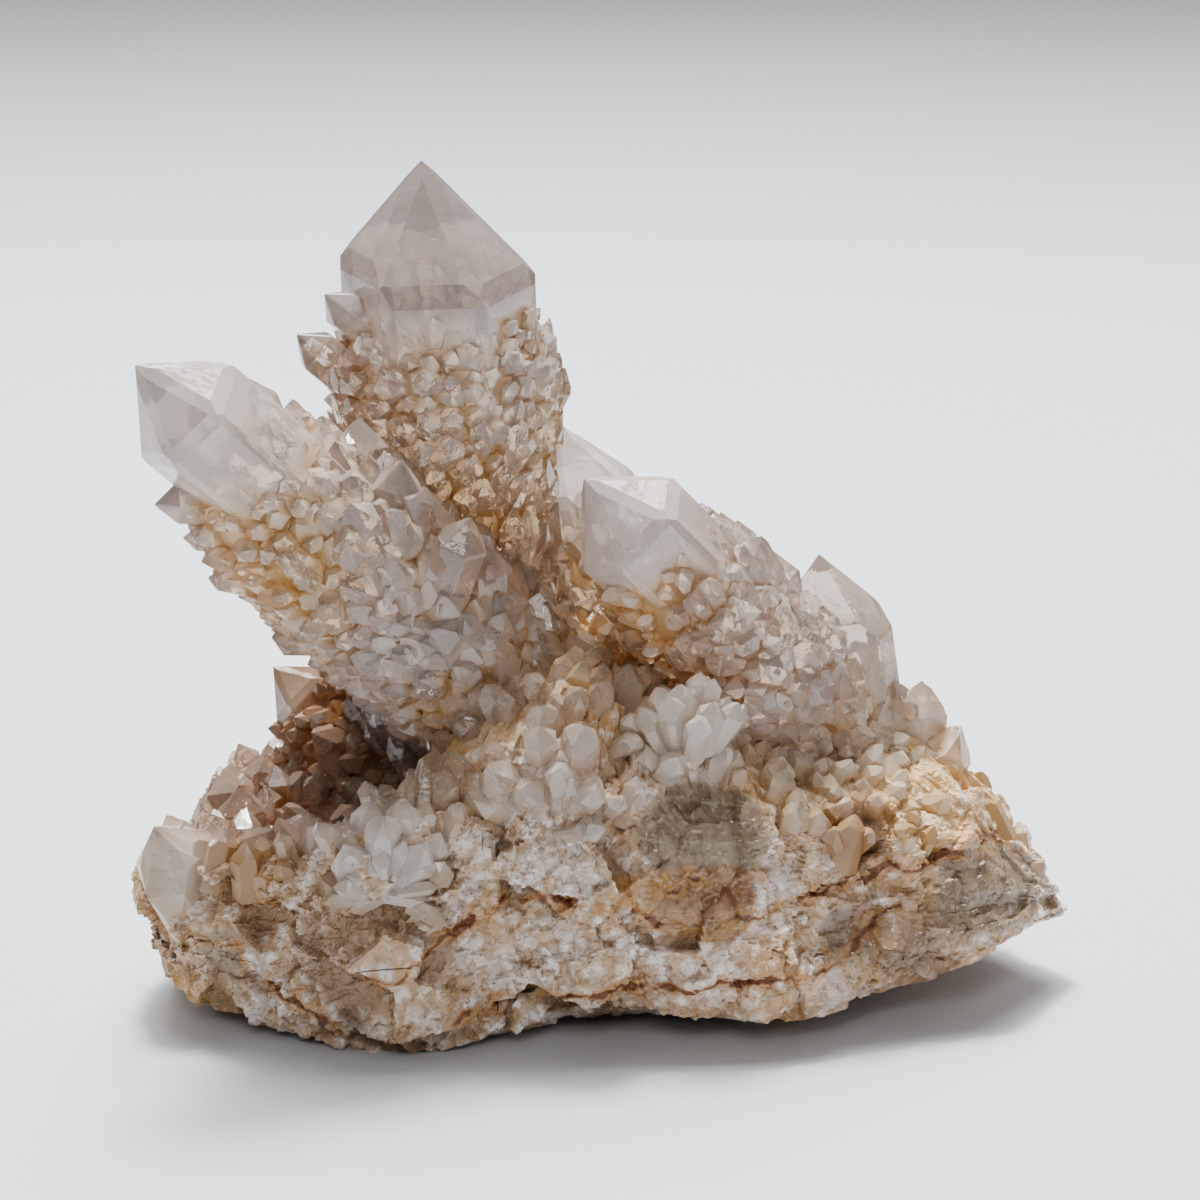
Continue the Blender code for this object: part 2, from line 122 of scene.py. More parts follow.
def corners_of(node):
    """All corners of a solid, in metres."""
    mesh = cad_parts[node].data
    flat = np.empty(len(mesh.vertices) * 3)
    mesh.vertices.foreach_get("co", flat)
    return flat.reshape(-1, 3)


tall = POINTS["tall_point"]
top_corner = max(corners_of("tall_point"), key=lambda corner: corner[2]) / MM
SHIFT = top_corner - (np.array([*tall["apex"], 0.0]) @ axes_of(tall["root"], tall["tip"], tall["roll"]) + tall["tip"])
print("shift of the solids' frame, mm:", SHIFT.round(3))

# %% [markdown]
# ## Meshes from arrays
# Every mesh here is worked out as whole arrays in millimetres: one array of corners, one flat array of the
# corners that the faces use, and the number of corners of each face. Values such as a crystal's tone travel
# with the mesh as attributes, so that the materials can read them, and they survive the Boolean unions.

# %% From arrays to a mesh
def mesh_object(name, places, corners, totals, point_values=None, face_values=None):
    """A mesh object from arrays: places (n, 3) in mm, flat corner indices, and corners per face."""
    mesh = bpy.data.meshes.new(name)
    mesh.vertices.add(len(places))
    mesh.vertices.foreach_set("co", ((places + SHIFT) * MM).astype(np.float32).ravel())
    mesh.loops.add(len(corners))
    mesh.loops.foreach_set("vertex_index", corners.astype(np.int32))
    mesh.polygons.add(len(totals))
    mesh.polygons.foreach_set("loop_start", np.r_[0, np.cumsum(totals)[:-1]].astype(np.int32))
    for domain, values in (("POINT", point_values or {}), ("FACE", face_values or {})):
        for key, numbers in values.items():
            layer = mesh.attributes.new(key, "FLOAT", domain)
            layer.data.foreach_set("value", np.asarray(numbers, np.float32))
    mesh.update(calc_edges=True)
    mesh.validate()
    mesh.shade_flat()
    obj = bpy.data.objects.new(name, mesh)
    bpy.context.scene.collection.objects.link(obj)
    return obj


def places_of(obj):
    """A mesh object's corners in millimetres, in the words' own frame."""
    flat = np.empty(len(obj.data.vertices) * 3, np.float32)
    obj.data.vertices.foreach_get("co", flat)
    return flat.reshape(-1, 3).astype(float) / MM - SHIFT


def set_values(obj, key, numbers):
    """Writes one number for each corner of the mesh, under a name that a material can read."""
    layer = obj.data.attributes.get(key)
    if layer is not None:
        obj.data.attributes.remove(layer)
    layer = obj.data.attributes.new(key, "FLOAT", "POINT")
    layer.data.foreach_set("value", np.clip(numbers, 0.0, 1.0).astype(np.float32))


# %% [markdown]
# ## Noise and broken facets
# Natural surfaces need irregular but repeatable numbers. A lattice of random numbers, blended between its
# eight nearest points, gives soft lumps. Cells round random seeds, each with a tilted plane of its own, give
# the flat chips and steps that quartz breaks into.

# %% Noise
LATTICE_SIDE = 64
LATTICE = np.random.default_rng(11).random((LATTICE_SIDE, LATTICE_SIDE, LATTICE_SIDE)) * 2 - 1


def lumps(places, size, offset=0.0):
    """Soft noise from -1 to 1: lattice numbers blended by an S curve along each axis."""
    cell = places / size + offset
    low = np.floor(cell).astype(int)
    t = cell - low
    t = t * t * (3 - 2 * t)
    total = np.zeros(len(places))
    for corner in itertools.product((0, 1), repeat=3):
        at = (low + corner) % LATTICE_SIDE
        weight = np.prod(np.where(corner, t, 1 - t), axis=1)
        total += LATTICE[at[:, 0], at[:, 1], at[:, 2]] * weight
    return total


def cells(places, size, offset=0.0):
    """For each place its nearest seed on a jittered lattice: the way to it, its number, the edge's distance."""
    cell = places / size + offset
    low = np.floor(cell).astype(int)
    best = np.full(len(places), 9.0)
    second = np.full(len(places), 9.0)
    way = np.zeros_like(places)
    number = np.zeros(len(places))
    for corner in itertools.product((-1, 0, 1), repeat=3):
        at = (low + corner) % LATTICE_SIDE
        jitter = np.stack([LATTICE[(at[:, 0] + 7 * k) % LATTICE_SIDE, at[:, 1], at[:, 2]] for k in range(3)], 1)
        seed = low + corner + 0.5 + 0.45 * jitter
        step = cell - seed
        distance = np.linalg.norm(step, axis=1)
        nearer = distance < best
        second = np.where(nearer, best, np.minimum(second, distance))
        best = np.where(nearer, distance, best)
        way[nearer] = step[nearer]
        number[nearer] = LATTICE[at[:, 0], at[:, 1], at[:, 2]][nearer]
    return way * size, number, (second - best) * size


def chips(places, size, offset=0.0):
    """Broken facets, from about -1 to 1: in each cell a plane with its own tilt and its own height."""
    way, number, _ = cells(places, size, offset)
    spin = number * 40.0
    tilt = np.stack([np.sin(spin), np.sin(spin * 1.7 + 1.0), np.sin(spin * 2.3 + 2.0)], 1)
    return (way * tilt).sum(1) / size * 1.1 + number * 0.5


# %% [markdown]
# ## Crystals from planes
# A quartz crystal is a six-sided prism ended by six faces that lean 52 degrees. Three of them are usually
# larger than the other three, and no two crystals are alike. Each crystal is the space inside its planes:
# moving a plane in or out changes the crystal the way that growth does. Two dozen patterns are enough,
# because each is turned and scaled differently where it is used.

# %% Crystal patterns
FACE_LEAN = math.radians(51.8)


def inside_planes(normals, distances):
    """The convex solid n.x <= d: its corners are where three planes meet inside all the others.

    Returns the corners, the flat corner indices of its faces and the number of corners of each face. The
    solid is closed when corners minus edges plus faces make two, by Euler's rule.
    """
    trios = np.array(list(itertools.combinations(range(len(normals)), 3)))
    sides = normals[trios]
    proper = np.abs(np.linalg.det(sides)) > 1e-4
    trios, sides = trios[proper], sides[proper]
    meets = np.linalg.solve(sides, distances[trios][..., None])[..., 0]
    meets = meets[(meets @ normals.T <= distances + 1e-7).all(axis=1)]
    _, first = np.unique(meets.round(5), axis=0, return_index=True)
    meets = meets[np.sort(first)]
    corners, totals = [], []
    for normal, distance in zip(normals, distances):
        on = np.flatnonzero(np.abs(meets @ normal - distance) < 1e-4)
        if len(on) < 3:
            continue
        across = np.cross(normal, meets[on[0]] - meets[on].mean(axis=0))
        arm = meets[on] - meets[on].mean(axis=0)
        turn = np.arctan2(arm @ across / np.linalg.norm(across), arm @ (meets[on[0]] - meets[on].mean(axis=0)))
        order = on[np.argsort(turn)]
        corners += list(order)
        totals.append(len(order))
    return meets, np.array(corners), np.array(totals)


def crystal_planes(rng, length, uneven=0.12, chamfer=0.0, shares=1.0):
    """Planes of a crystal of radius 1 whose tip is at the origin and whose body runs down -Z for length.

    Three end faces pass close to the tip, the three between them stand further out by up to a third of
    uneven, the prism's sides differ by uneven, and chamfer cuts every edge between neighbours by that much.
    shares moves each of the six sides out or in on purpose.
    """
    angles = np.radians(30 + 60 * np.arange(6))
    out = np.stack([np.cos(angles), np.sin(angles), np.zeros(6)], 1)
    main = np.arange(6) % 2 == rng.integers(2)
    sides = math.cos(math.pi / 6) * (1 + uneven * (rng.random(6) - 0.5)) * shares
    ends = uneven * np.where(main, -0.12 * rng.random(6), 0.22 * rng.random(6))
    lean = out * math.sin(FACE_LEAN) + np.array([0.0, 0.0, math.cos(FACE_LEAN)])
    normals = [*out, *lean, np.array([0.0, 0.0, -1.0])]
    distances = [*sides, *ends, length]
    if chamfer:
        pairs = [(k, (k + 1) % 6) for k in range(6)] + [(6 + k, 6 + (k + 1) % 6) for k in range(6)]
        pairs += [(k, 6 + k) for k in range(6)]
        for one, other in pairs:
            middle = normals[one] + normals[other]
            size = np.linalg.norm(middle)
            normals.append(middle / size)
            distances.append((distances[one] + distances[other]) / size - chamfer)
    return np.array(normals), np.array(distances)


pattern_dice = np.random.default_rng(5)
PATTERN_LENGTH = 4.2
PATTERNS = [inside_planes(*crystal_planes(pattern_dice, PATTERN_LENGTH, uneven=0.55)) for _ in range(28)]
print("crystal patterns:", len(PATTERNS), "with", [len(pattern[2]) for pattern in PATTERNS][:6], "faces")

# %% [markdown]
# ## Many crystals in one mesh
# A crystal is placed by its tip, its direction and its radius, because the tips are what the eye sees: the
# feet are buried. Crystals that overlap are sorted into groups in which none touches another, so that each
# group is a clean closed mesh, and a Boolean union joins group after group. What comes out is one skin with
# nothing inside it, and light passes through it as through one piece of quartz.

# %% Placing and joining crystals
def unit(vectors):
    """Vectors of length one."""
    return vectors / np.linalg.norm(vectors, axis=-1, keepdims=True)


def crystals(name, tips, ways, radii, rng):
    """One mesh of many pattern crystals: tips (n, 3), unit directions (n, 3), radii (n). Each has its own tone."""
    aside = np.cross(ways, rng.normal(size=ways.shape))
    aside /= np.linalg.norm(aside, axis=1, keepdims=True)
    frames = np.stack([aside, np.cross(ways, aside), ways], 1)
    pick = rng.integers(len(PATTERNS), size=len(tips))
    tone = rng.random(len(tips))
    places, corners, totals, tones, used = [], [], [], [], 0
    for number, (shape, face_corners, face_totals) in enumerate(PATTERNS):
        mine = np.flatnonzero(pick == number)
        if not len(mine):
            continue
        put = np.einsum("vk,nkj->nvj", shape, frames[mine] * radii[mine, None, None]) + tips[mine, None, :]
        places.append(put.reshape(-1, 3))
        steps = used + len(shape) * np.arange(len(mine))
        corners.append((face_corners[None, :] + steps[:, None]).ravel())
        totals.append(np.tile(face_totals, len(mine)))
        tones.append(np.repeat(tone[mine], len(face_totals)))
        used += len(shape) * len(mine)
    return mesh_object(
        name, np.concatenate(places), np.concatenate(corners), np.concatenate(totals),
        face_values={"tone": np.concatenate(tones)},
    )


def groups_apart(tips, ways, radii, lengths):
    """Sorts crystals into groups in which none comes near another, each as three balls along its axis."""
    balls = np.stack([tips - ways * (radii + lengths * share)[:, None] for share in (0.0, 0.45, 0.9)], 1)
    group = np.full(len(tips), -1)
    for number in range(len(tips)):
        gaps = np.linalg.norm(balls[:, :, None, :] - balls[number][None, None, :, :], axis=3).min(axis=(1, 2))
        near = (gaps < 1.12 * (radii + radii[number])) & (group >= 0)
        taken = set(group[near])
        group[number] = next(k for k in itertools.count() if k not in taken)
    return group


def joined(obj, others):
    """Unites a mesh with others, one Boolean after another, and keeps the result as its own mesh."""
    for other in others:
        union = obj.modifiers.new("union", "BOOLEAN")
        union.operation = "UNION"
        union.solver = "MANIFOLD"
        union.object = other
    shown = obj.evaluated_get(bpy.context.evaluated_depsgraph_get())
    mesh = bpy.data.meshes.new_from_object(shown)
    mesh.name = obj.name
    obj.modifiers.clear()
    obj.data = mesh
    for other in others:
        bpy.data.objects.remove(other)
    return obj


def grown_over(obj, tips, ways, radii, rng):
    """Unites a mesh with a whole crop of small crystals."""
    group = groups_apart(tips, ways, radii, PATTERN_LENGTH * radii - radii)
    crops = [
        crystals("crop", tips[group == k], ways[group == k], radii[group == k], rng) for k in range(group.max() + 1)
    ]
    joined(obj, crops)
    print(obj.name, ":", len(tips), "small crystals in", len(crops), "groups,", len(obj.data.polygons), "faces")
    return obj


def single(name, foot, tip, radius, rng, roll=0.0, uneven=0.2, chamfer=0.03, shares=1.0, tone=0.3):
    """One crystal of its own pattern from foot to tip, with its edges cut a little."""
    foot, tip = np.array(foot, float), np.array(tip, float)
    length = np.linalg.norm(tip - foot) / radius
    closed = False
    while not closed:
        places, corners, totals = inside_planes(*crystal_planes(rng, length, uneven, chamfer, shares))
        closed = len(places) - len(corners) / 2 + len(totals) == 2
    places = places * radius @ axes_of(foot, tip, roll) + tip
    return mesh_object(name, places, corners, totals, face_values={"tone": np.full(len(totals), tone)})


# %% [markdown]
# ## The rock's form
# The block is described as the solid is: an outline seen from above, a top and an underside with round rises
# and dips, and one profile for all sides. The same words, worked out for whole arrays, tell the small
# crystals where the ground is.

# %% Rock form
ROCK_MIDDLE = np.array([0.0, 4.0])
ROCK_OUTLINE = (
    (48.5, 1.0), (42.0, -8.0), (31.0, -14.0), (18.0, -18.0), (4.0, -19.0), (-10.0, -20.5),
    (-22.0, -21.5), (-33.0, -18.0), (-42.0, -14.0), (-47.5, -7.0), (-46.0, 3.0), (-42.0, 12.0),
    (-32.0, 21.0), (-14.0, 27.0), (4.0, 29.5), (22.0, 26.0), (36.0, 18.0), (44.0, 9.0),
)
ROCK_TOP = 19.5
# Rises and dips of the top: x, y, height, spread along x, spread along y
ROCK_BUMPS = (
    (-4.0, 5.0, 17.0, 17.0, 15.0), (0.0, -11.0, 9.5, 17.0, 7.0), (-19.0, 14.0, 5.0, 9.0, 9.0),
    (27.0, 7.0, 11.5, 13.0, 14.0), (-37.0, -2.0, -1.5, 9.0, 9.0), (-24.0, -4.0, -12.0, 8.0, 9.0),
    (-20.0, -20.0, 4.0, 9.0, 6.0), (52.0, 0.0, -9.0, 12.0, 30.0), (-43.0, 4.0, -4.6, 7.0, 12.0),
)
# Level on the way from bottom to top, share of the reach to the outline, share of the height
ROCK_PROFILE = np.array((
    (0.00, 0.00, 0.00), (0.17, 0.91, 0.00), (0.23, 0.98, 0.10), (0.30, 1.00, 0.26), (0.37, 0.98, 0.42),
    (0.44, 0.99, 0.58), (0.50, 0.96, 0.76), (0.55, 0.93, 0.92), (0.61, 0.84, 1.00), (1.00, 0.00, 1.00),
))
ROCK_LEAN = 0.16
# Ledges and dents of the sides: x, y, z, push outwards, spread
ROCK_LEDGES = (
    (-21.0, -20.0, 10.0, 2.0, 7.0), (-8.0, -20.0, 7.0, -2.2, 6.0), (4.0, -19.0, 14.0, 1.6, 7.0),
    (17.0, -18.0, 6.0, 1.8, 7.0), (24.0, -15.0, 16.0, -2.0, 6.0), (36.0, -11.0, 8.0, 1.8, 7.0),
    (-36.0, -17.0, 8.0, 1.2, 6.0), (-48.0, -6.0, 4.0, -3.6, 7.0), (-44.0, 6.0, 10.0, -2.0, 8.0),
    (-20.0, 25.0, 9.0, 2.2, 9.0), (8.0, 29.0, 12.0, -2.4, 8.0), (28.0, 23.0, 8.0, 2.0, 9.0),
)
REST_SPOT, REST_HALF = (-5.0, 1.0), (17.0, 13.0)
UNDERSIDE_RISE, UNDERSIDE_SINK = 2.5, 0.9
UNDERSIDE_BUMPS = (
    (14.0, -20.0, 3.6, 20.0, 11.0), (-24.0, -20.0, -1.5, 10.0, 8.0), (39.0, -6.0, 3.4, 10.0, 9.0),
    (1.0, -20.0, 1.9, 8.0, 8.0), (-41.0, -9.0, -1.5, 6.0, 6.0),
)

outline_arms = np.array(ROCK_OUTLINE) - ROCK_MIDDLE
outline_turns = np.arctan2(outline_arms[:, 1], outline_arms[:, 0]) % (2 * np.pi)
outline_order = np.argsort(outline_turns)


def outline_radius(turn):
    """Distance from the rock's middle to its outline, straight in angle from corner to corner."""
    reaches = np.linalg.norm(outline_arms, axis=1)
    return np.interp(turn, outline_turns[outline_order], reaches[outline_order], period=2 * np.pi)


def swell(bumps, x, y):
    """The sum of round rises and dips: each its height times e to minus the squared way over its spread."""
    return sum(
        height * np.exp(-(((x - bump_x) / spread_x) ** 2) - ((y - bump_y) / spread_y) ** 2)
        for bump_x, bump_y, height, spread_x, spread_y in bumps
    )


def ground(x, y):
    """Height of the rock's top at a place."""
    return ROCK_TOP + swell(ROCK_BUMPS, x, y)


def underside(x, y):
    """Height of the rock's underside, which rises from a small flat spot."""
    out = np.hypot((x - REST_SPOT[0]) / REST_HALF[0], (y - REST_SPOT[1]) / REST_HALF[1])
    return UNDERSIDE_RISE * np.maximum(0.0, out - 1) ** 1.2 - UNDERSIDE_SINK + swell(UNDERSIDE_BUMPS, x, y)


def rock_places(turn, level):
    """Places on the rock for arrays of directions and levels: outline times profile, leaned with height."""
    reach = np.interp(level, ROCK_PROFILE[:, 0], ROCK_PROFILE[:, 1])
    share = np.interp(level, ROCK_PROFILE[:, 0], ROCK_PROFILE[:, 2])
    around = outline_radius(turn) * reach
    x = ROCK_MIDDLE[0] + around * np.cos(turn)
    y = ROCK_MIDDLE[1] + around * np.sin(turn)
    low = underside(x, y)
    z = low + (ground(x, y) - low) * share
    return np.stack([x - ROCK_LEAN * reach * reach * (z - ROCK_TOP / 2), y, z], -1)


def how_far_out(x, y):
    """Share of the way from the rock's middle to its outline."""
    arm_x, arm_y = x - ROCK_MIDDLE[0], y - ROCK_MIDDLE[1]
    return np.hypot(arm_x, arm_y) / outline_radius(np.arctan2(arm_y, arm_x) % (2 * np.pi))


# %% [markdown]
# ## Large points
# Each large point is a smooth crystal whose lower part is hidden in a sleeve of small ones. The sleeve's net
# is jittered so that no rows show. The small crystals lean towards the large one's tip, as they grew away
# from the rock, and they are larger on the upper side of the leaning points, as in the photo.

# %% Sleeves of small crystals
SLEEVE_LEAN = 0.95
NET_STEP = 2.0  # mm between neighbours on the sleeves
SPREAD = 0.76  # radius of a small crystal over the net's step, so that neighbours grow into each other
TIP_LIFT = (0.5, 2.1)  # how far the tips stand out of the sleeve
YOUNG_SHARE = 0.95  # share of the small crystals that have a much smaller one beside them


def sleeve_radius(point, share):
    """The sleeve's radius at a share of its length, eased by an S curve between the given radii."""
    radii = np.array(point["sleeve"])
    place = np.clip(share, 0.0, 1.0) * (len(radii) - 1)
    low = np.minimum(place.astype(int), len(radii) - 2)
    t = place - low
    t = t * t * (3 - 2 * t)
    return radii[low] * (1 - t) + radii[low + 1] * t


def sleeve_net(point, step, rng):
    """A jittered net of equal steps on a sleeve: angles and ways along the axis from the root, in mm."""
    length = np.linalg.norm(np.subtract(point["tip"], point["root"])) - point["bare"]
    rows = np.arange(-point["depth"] * 0.6, length + step / 4, step * math.sqrt(3) / 2)
    turns, alongs = [], []
    for number, along in enumerate(rows):
        radius = float(sleeve_radius(point, np.array(along / length)))
        count = max(6, round(2 * math.pi * radius / step))
        turn = (np.arange(count) + 0.5 * (number % 2)) / count * 2 * math.pi
        turns.append(turn + rng.normal(size=count) * 0.22 * step / radius)
        alongs.append(along + rng.normal(size=count) * 0.22 * step)
    return np.concatenate(turns), np.concatenate(alongs), length


def buried(places, names, margin):
    """Whether places lie inside the rock or inside one of the named large points, by more than margin."""
    hidden = places[:, 2] < ground(places[:, 0], places[:, 1]) - margin
    for name in names:
        point = POINTS[name]
        root, tip = np.array(point["root"]), np.array(point["tip"])
        length = np.linalg.norm(tip - root)
        along = (places - root) @ (tip - root) / length
        off = np.linalg.norm(places - root - along[:, None] * (tip - root) / length, axis=1)
        inside = off < sleeve_radius(point, along / (length - point["bare"])) - margin
        hidden |= inside & (along < length - point["bare"]) & (along > -point["depth"])
    return hidden


def tube(name, point, shrink):
    """A closed tube inside the sleeve: rings of 40 corners with the sleeve's radius less shrink, and two ends."""
    length = np.linalg.norm(np.subtract(point["tip"], point["root"])) - point["bare"]
    along = np.linspace(-point["depth"], length, 24)
    turn = np.arange(40) / 40 * 2 * math.pi
    radius = sleeve_radius(point, along / length) - shrink
    ring = np.stack([np.cos(turn), np.sin(turn)], 1)
    places = np.concatenate([np.c_[ring * r, np.full(40, z)] for r, z in zip(radius, along)])
    places = places @ axes_of(point["root"], point["tip"], point["roll"]) + point["root"]
    one = np.arange(23 * 40)
    side = one // 40 * 40
    after = side + (one + 1) % 40
    corners = np.stack([one, after, after + 40, one + 40], 1).ravel()
    corners = np.concatenate([corners, np.arange(39, -1, -1), np.arange(40) + 23 * 40])
    totals = np.r_[np.full(23 * 40, 4), 40, 40]
    return mesh_object(name, places, corners, totals, face_values={"tone": np.full(len(totals), 0.5)})


def with_young(tips, ways, radii, few, rng):
    """Adds a smaller crystal to each of a few: beside its tip, and rooted in its side."""
    count = few.sum()
    aside = unit(np.cross(ways[few], rng.normal(size=(count, 3))))
    size = radii[few, None]
    young = tips[few] - ways[few] * size * rng.uniform(0.5, 1.5, (count, 1))
    young += aside * size * rng.uniform(0.75, 1.05, (count, 1))
    turned = unit(ways[few] + aside * 0.45 + rng.normal(size=young.shape) * 0.15)
    radii = np.r_[radii, size[:, 0] * rng.uniform(0.28, 0.62, count)]
    return np.concatenate([tips, young]), np.concatenate([ways, turned]), radii


def crop_for(name, rng, step=NET_STEP, size=1.0, upper=0.35):
    """Tips, directions and radii of the small crystals on a large point."""
    point = POINTS[name]
    turn, along, length = sleeve_net(point, step, rng)
    own = axes_of(point["root"], point["tip"], point["roll"])
    radial = np.stack([np.cos(turn), np.sin(turn), np.zeros(len(turn))], 1) @ own
    high = 0.5 + 0.5 * radial[:, 2] / max(abs(own[2, 0]) + abs(own[2, 1]), 0.35)
    growth = size * (1 - upper / 2 + upper * np.clip(high, 0, 1)) * np.exp(rng.normal(size=len(turn)) * 0.2)
    radii = SPREAD * step * growth
    lift = rng.uniform(*TIP_LIFT, len(turn)) * (0.4 + 0.6 * growth)
    edge = np.clip((length - along) / 5.0, 0.35, 1.0)
    reach = sleeve_radius(point, along / length) + lift * edge
    lean = SLEEVE_LEAN + rng.normal(size=len(turn)) * 0.2
    ways = radial + own[2] * lean[:, None] + rng.normal(size=radial.shape) * 0.2
    ways /= np.linalg.norm(ways, axis=1, keepdims=True)
    tips = np.array(point["root"]) + own[2] * (along + lift * lean)[:, None] + radial * reach[:, None]
    radii = radii * np.where(edge < 1, 0.8, 1.0)
    few = rng.random(len(tips)) < YOUNG_SHARE
    return with_young(tips, ways, radii, few, rng)


def large_point(name, seed, beside=(), **sizes):
    """A whole large point: tube, bare crystal, flank crystals and small crystals in one closed mesh."""
    rng = np.random.default_rng(seed)
    point = POINTS[name]
    piece = tube(name.replace("point", "quartz"), point, 0.7)
    own = axes_of(point["root"], point["tip"], point["roll"])
    aside = np.array([*point["apex"], 0.0]) @ own
    foot, tip = np.array(point["root"]) + aside, np.array(point["tip"]) + aside + own[2] * 0.5
    shares = np.array(point.get("shares", (1.0,) * 6))
    tone = point.get("tone", 0.3)
    parts = [single("bare", foot, tip, point["crystal"], rng, point["roll"], 0.07, 0.04, shares, tone)]
    for foot, end, radius, *rest in FLANKS.get(name, ()):
        roll, shares = (*rest, *(0.0, 1.0)[len(rest):])
        parts.append(single("flank", foot, end, radius, rng, roll, 0.1, 0.02, np.array(shares), 0.9))
    joined(piece, parts)
    tips, ways, radii = crop_for(name, rng, **sizes)
    keep = ~buried(tips, beside, 1.5)
    return grown_over(piece, tips[keep], ways[keep], radii[keep], rng)


points = {
    "tall_point": large_point("tall_point", 21, ("left_point",)),
    "left_point": large_point("left_point", 22, step=2.25, upper=0.8),
    "right_point": large_point("right_point", 23, step=2.15, upper=0.6),
    "back_point": large_point("back_point", 24, ("tall_point",)),
    "shaded_point": large_point("shaded_point", 25, ("left_point", "tall_point")),
}

# %% [markdown]
# ## Where the colours lie
# Iron stain spread over the cluster from the rock upwards: ochre in the valley between the points, rust in the
# deepest gaps, a little pink-beige everywhere between the small crystals, whose tips stayed clear. The gaps are
# also darkened as painted shade, and some rust spots are painted shade too: in the cave under the left point,
# in the recess between the tall and left points and low on the right of the rock. In the rock, rust runs along
# old cracks as veins, and some grains are smoky or sugary white.

# %% Colour values
# Spots: x, y, z, reach, strength
OCHRE = (
    (-29.4, -22.0, 48.0, 6.0, 0.8), (-36.0, -22.0, 54.0, 4.0, 0.4), (-16.0, -14.0, 30.4, 5.0, 0.7),
    (-4.1, 6.0, 57.2, 4.5, 1.0), (-11.0, 0.0, 50.0, 6.0, 0.8), (-1.6, 0.0, 39.0, 9.0, 1.0),
    (4.3, -8.0, 32.6, 6.0, 0.6), (-34.0, -14.0, 16.0, 4.0, 0.8), (30.0, 0.0, 25.0, 9.0, 0.4),
    (-9.0, -3.0, 29.0, 6.0, 0.6), (-46.0, -8.0, 13.0, 5.0, 0.6), (-41.0, -12.0, 2.5, 4.0, 0.9), (-15.0, -2.0, 52.0, 5.0, 1.0),
    (38.0, -8.0, 21.0, 7.0, 0.6), (34.0, -4.0, 24.0, 9.0, 0.5), (30.0, -14.0, 10.0, 6.0, 0.5), (16.0, -18.0, 6.0, 4.0, 0.4),
    (-24.0, -4.0, 57.0, 6.0, 0.5), (16.0, -16.0, 25.0, 3.5, 0.7), (37.0, -2.0, 26.0, 6.0, 0.5),
    (-36.0, -16.0, 44.0, 6.0, 0.6), (-30.0, -14.0, 38.0, 5.0, 0.5),
)
# Rust: iron stain, and painted shade in the spots over the cave under the left point, the recess between the tall and
# left points and the low right of the rock.
RUST_AND_SHADE = (
    (-19.3, -3.0, 54.7, 4.0, 0.9), (-11.0, -3.0, 48.5, 5.5, 1.0), (-24.0, -2.0, 60.0, 6.0, 0.6),
    (10.0, -4.0, 34.5, 4.5, 1.0), (-8.6, -2.0, 43.0, 6.0, 0.6), (-20.0, -4.0, 18.0, 7.0, 1.0),
    (-24.0, 8.0, 23.0, 10.0, 0.8), (25.3, -12.0, 19.6, 2.5, 1.0), (0.0, 0.0, 35.0, 8.0, 0.5),
    (-33.0, -18.0, 12.0, 1.6, 0.9), (-24.0, -21.0, 4.0, 1.6, 0.8), (-32.0, 0.0, 18.0, 8.0, 1.0), (30.0, -14.0, 8.0, 8.0, 0.35),
    (-36.0, -3.0, 18.0, 8.0, 0.4),
    (-35.5, -16.0, 16.5, 2.0, 0.7),
)
SMOKE = (
    (8.0, -18.0, 22.5, 4.6, 1.0), (13.5, -18.0, 22.0, 4.6, 1.0), (37.0, -8.0, 13.6, 5.0, 1.0),
    (42.5, -6.0, 12.8, 4.5, 1.0), (-36.0, -16.0, 9.5, 3.5, 0.8), (24.0, -16.0, 11.0, 4.0, 0.7),
    (-9.0, -20.0, 12.0, 4.0, 0.4), (31.0, -13.0, 8.0, 5.0, 0.55),
)
AMBER = (
    (7.5, -19.0, 15.8, 3.6, 1.0), (12.5, -19.0, 15.3, 3.8, 1.0), (27.0, -15.0, 12.0, 4.0, 0.6),
    (-18.0, -20.0, 4.0, 4.0, 0.5),
)
SUGAR = (
    (-8.5, -20.0, 20.8, 5.0, 0.8), (0.3, -19.0, 10.6, 6.0, 0.6), (-22.0, -21.0, 5.6, 4.5, 0.7),
    (-20.3, -21.0, 17.0, 3.2, 0.9), (-0.6, -18.0, 27.0, 2.6, 1.0), (34.0, -8.0, 19.0, 6.0, 0.4),
    (-37.0, -15.0, 13.0, 3.0, 0.6), (-29.5, -20.0, 8.5, 5.5, 0.95),
)
# Where the small crystals on the rock are clear and pale: the same five numbers
PALE = (
    (-4.0, -19.0, 30.0, 8.0, 0.6), (9.0, -16.0, 33.0, 7.0, 1.0), (-20.3, -21.0, 21.0, 5.0, 1.0),
    (-41.0, -14.0, 17.0, 4.5, 0.6), (31.0, -2.0, 27.0, 8.0, 0.7),
)
# Iron veins as lines on the front: x and z of their bends
VEINS = (
    ((-22.0, 8.0), (-19.0, 8.8), (-15.1, 11.9), (-9.3, 16.0), (-3.5, 16.1), (2.3, 16.8), (10.0, 17.8)),
    ((2.3, 16.8), (6.2, 13.2), (10.0, 13.2), (15.9, 13.8), (19.8, 15.0), (24.7, 15.7), (29.8, 16.7), (36.1, 17.9)),
    ((36.1, 17.9), (44.7, 15.7)),
    ((-46.0, 9.5), (-42.2, 10.1), (-35.4, 10.5), (-30.7, 5.8), (-25.8, 3.1)),
    ((-16.2, 2.4), (-9.4, 5.8), (0.3, 7.0), (10.1, 7.6), (20.0, 7.9), (25.9, 10.8), (30.0, 13.2)),
)


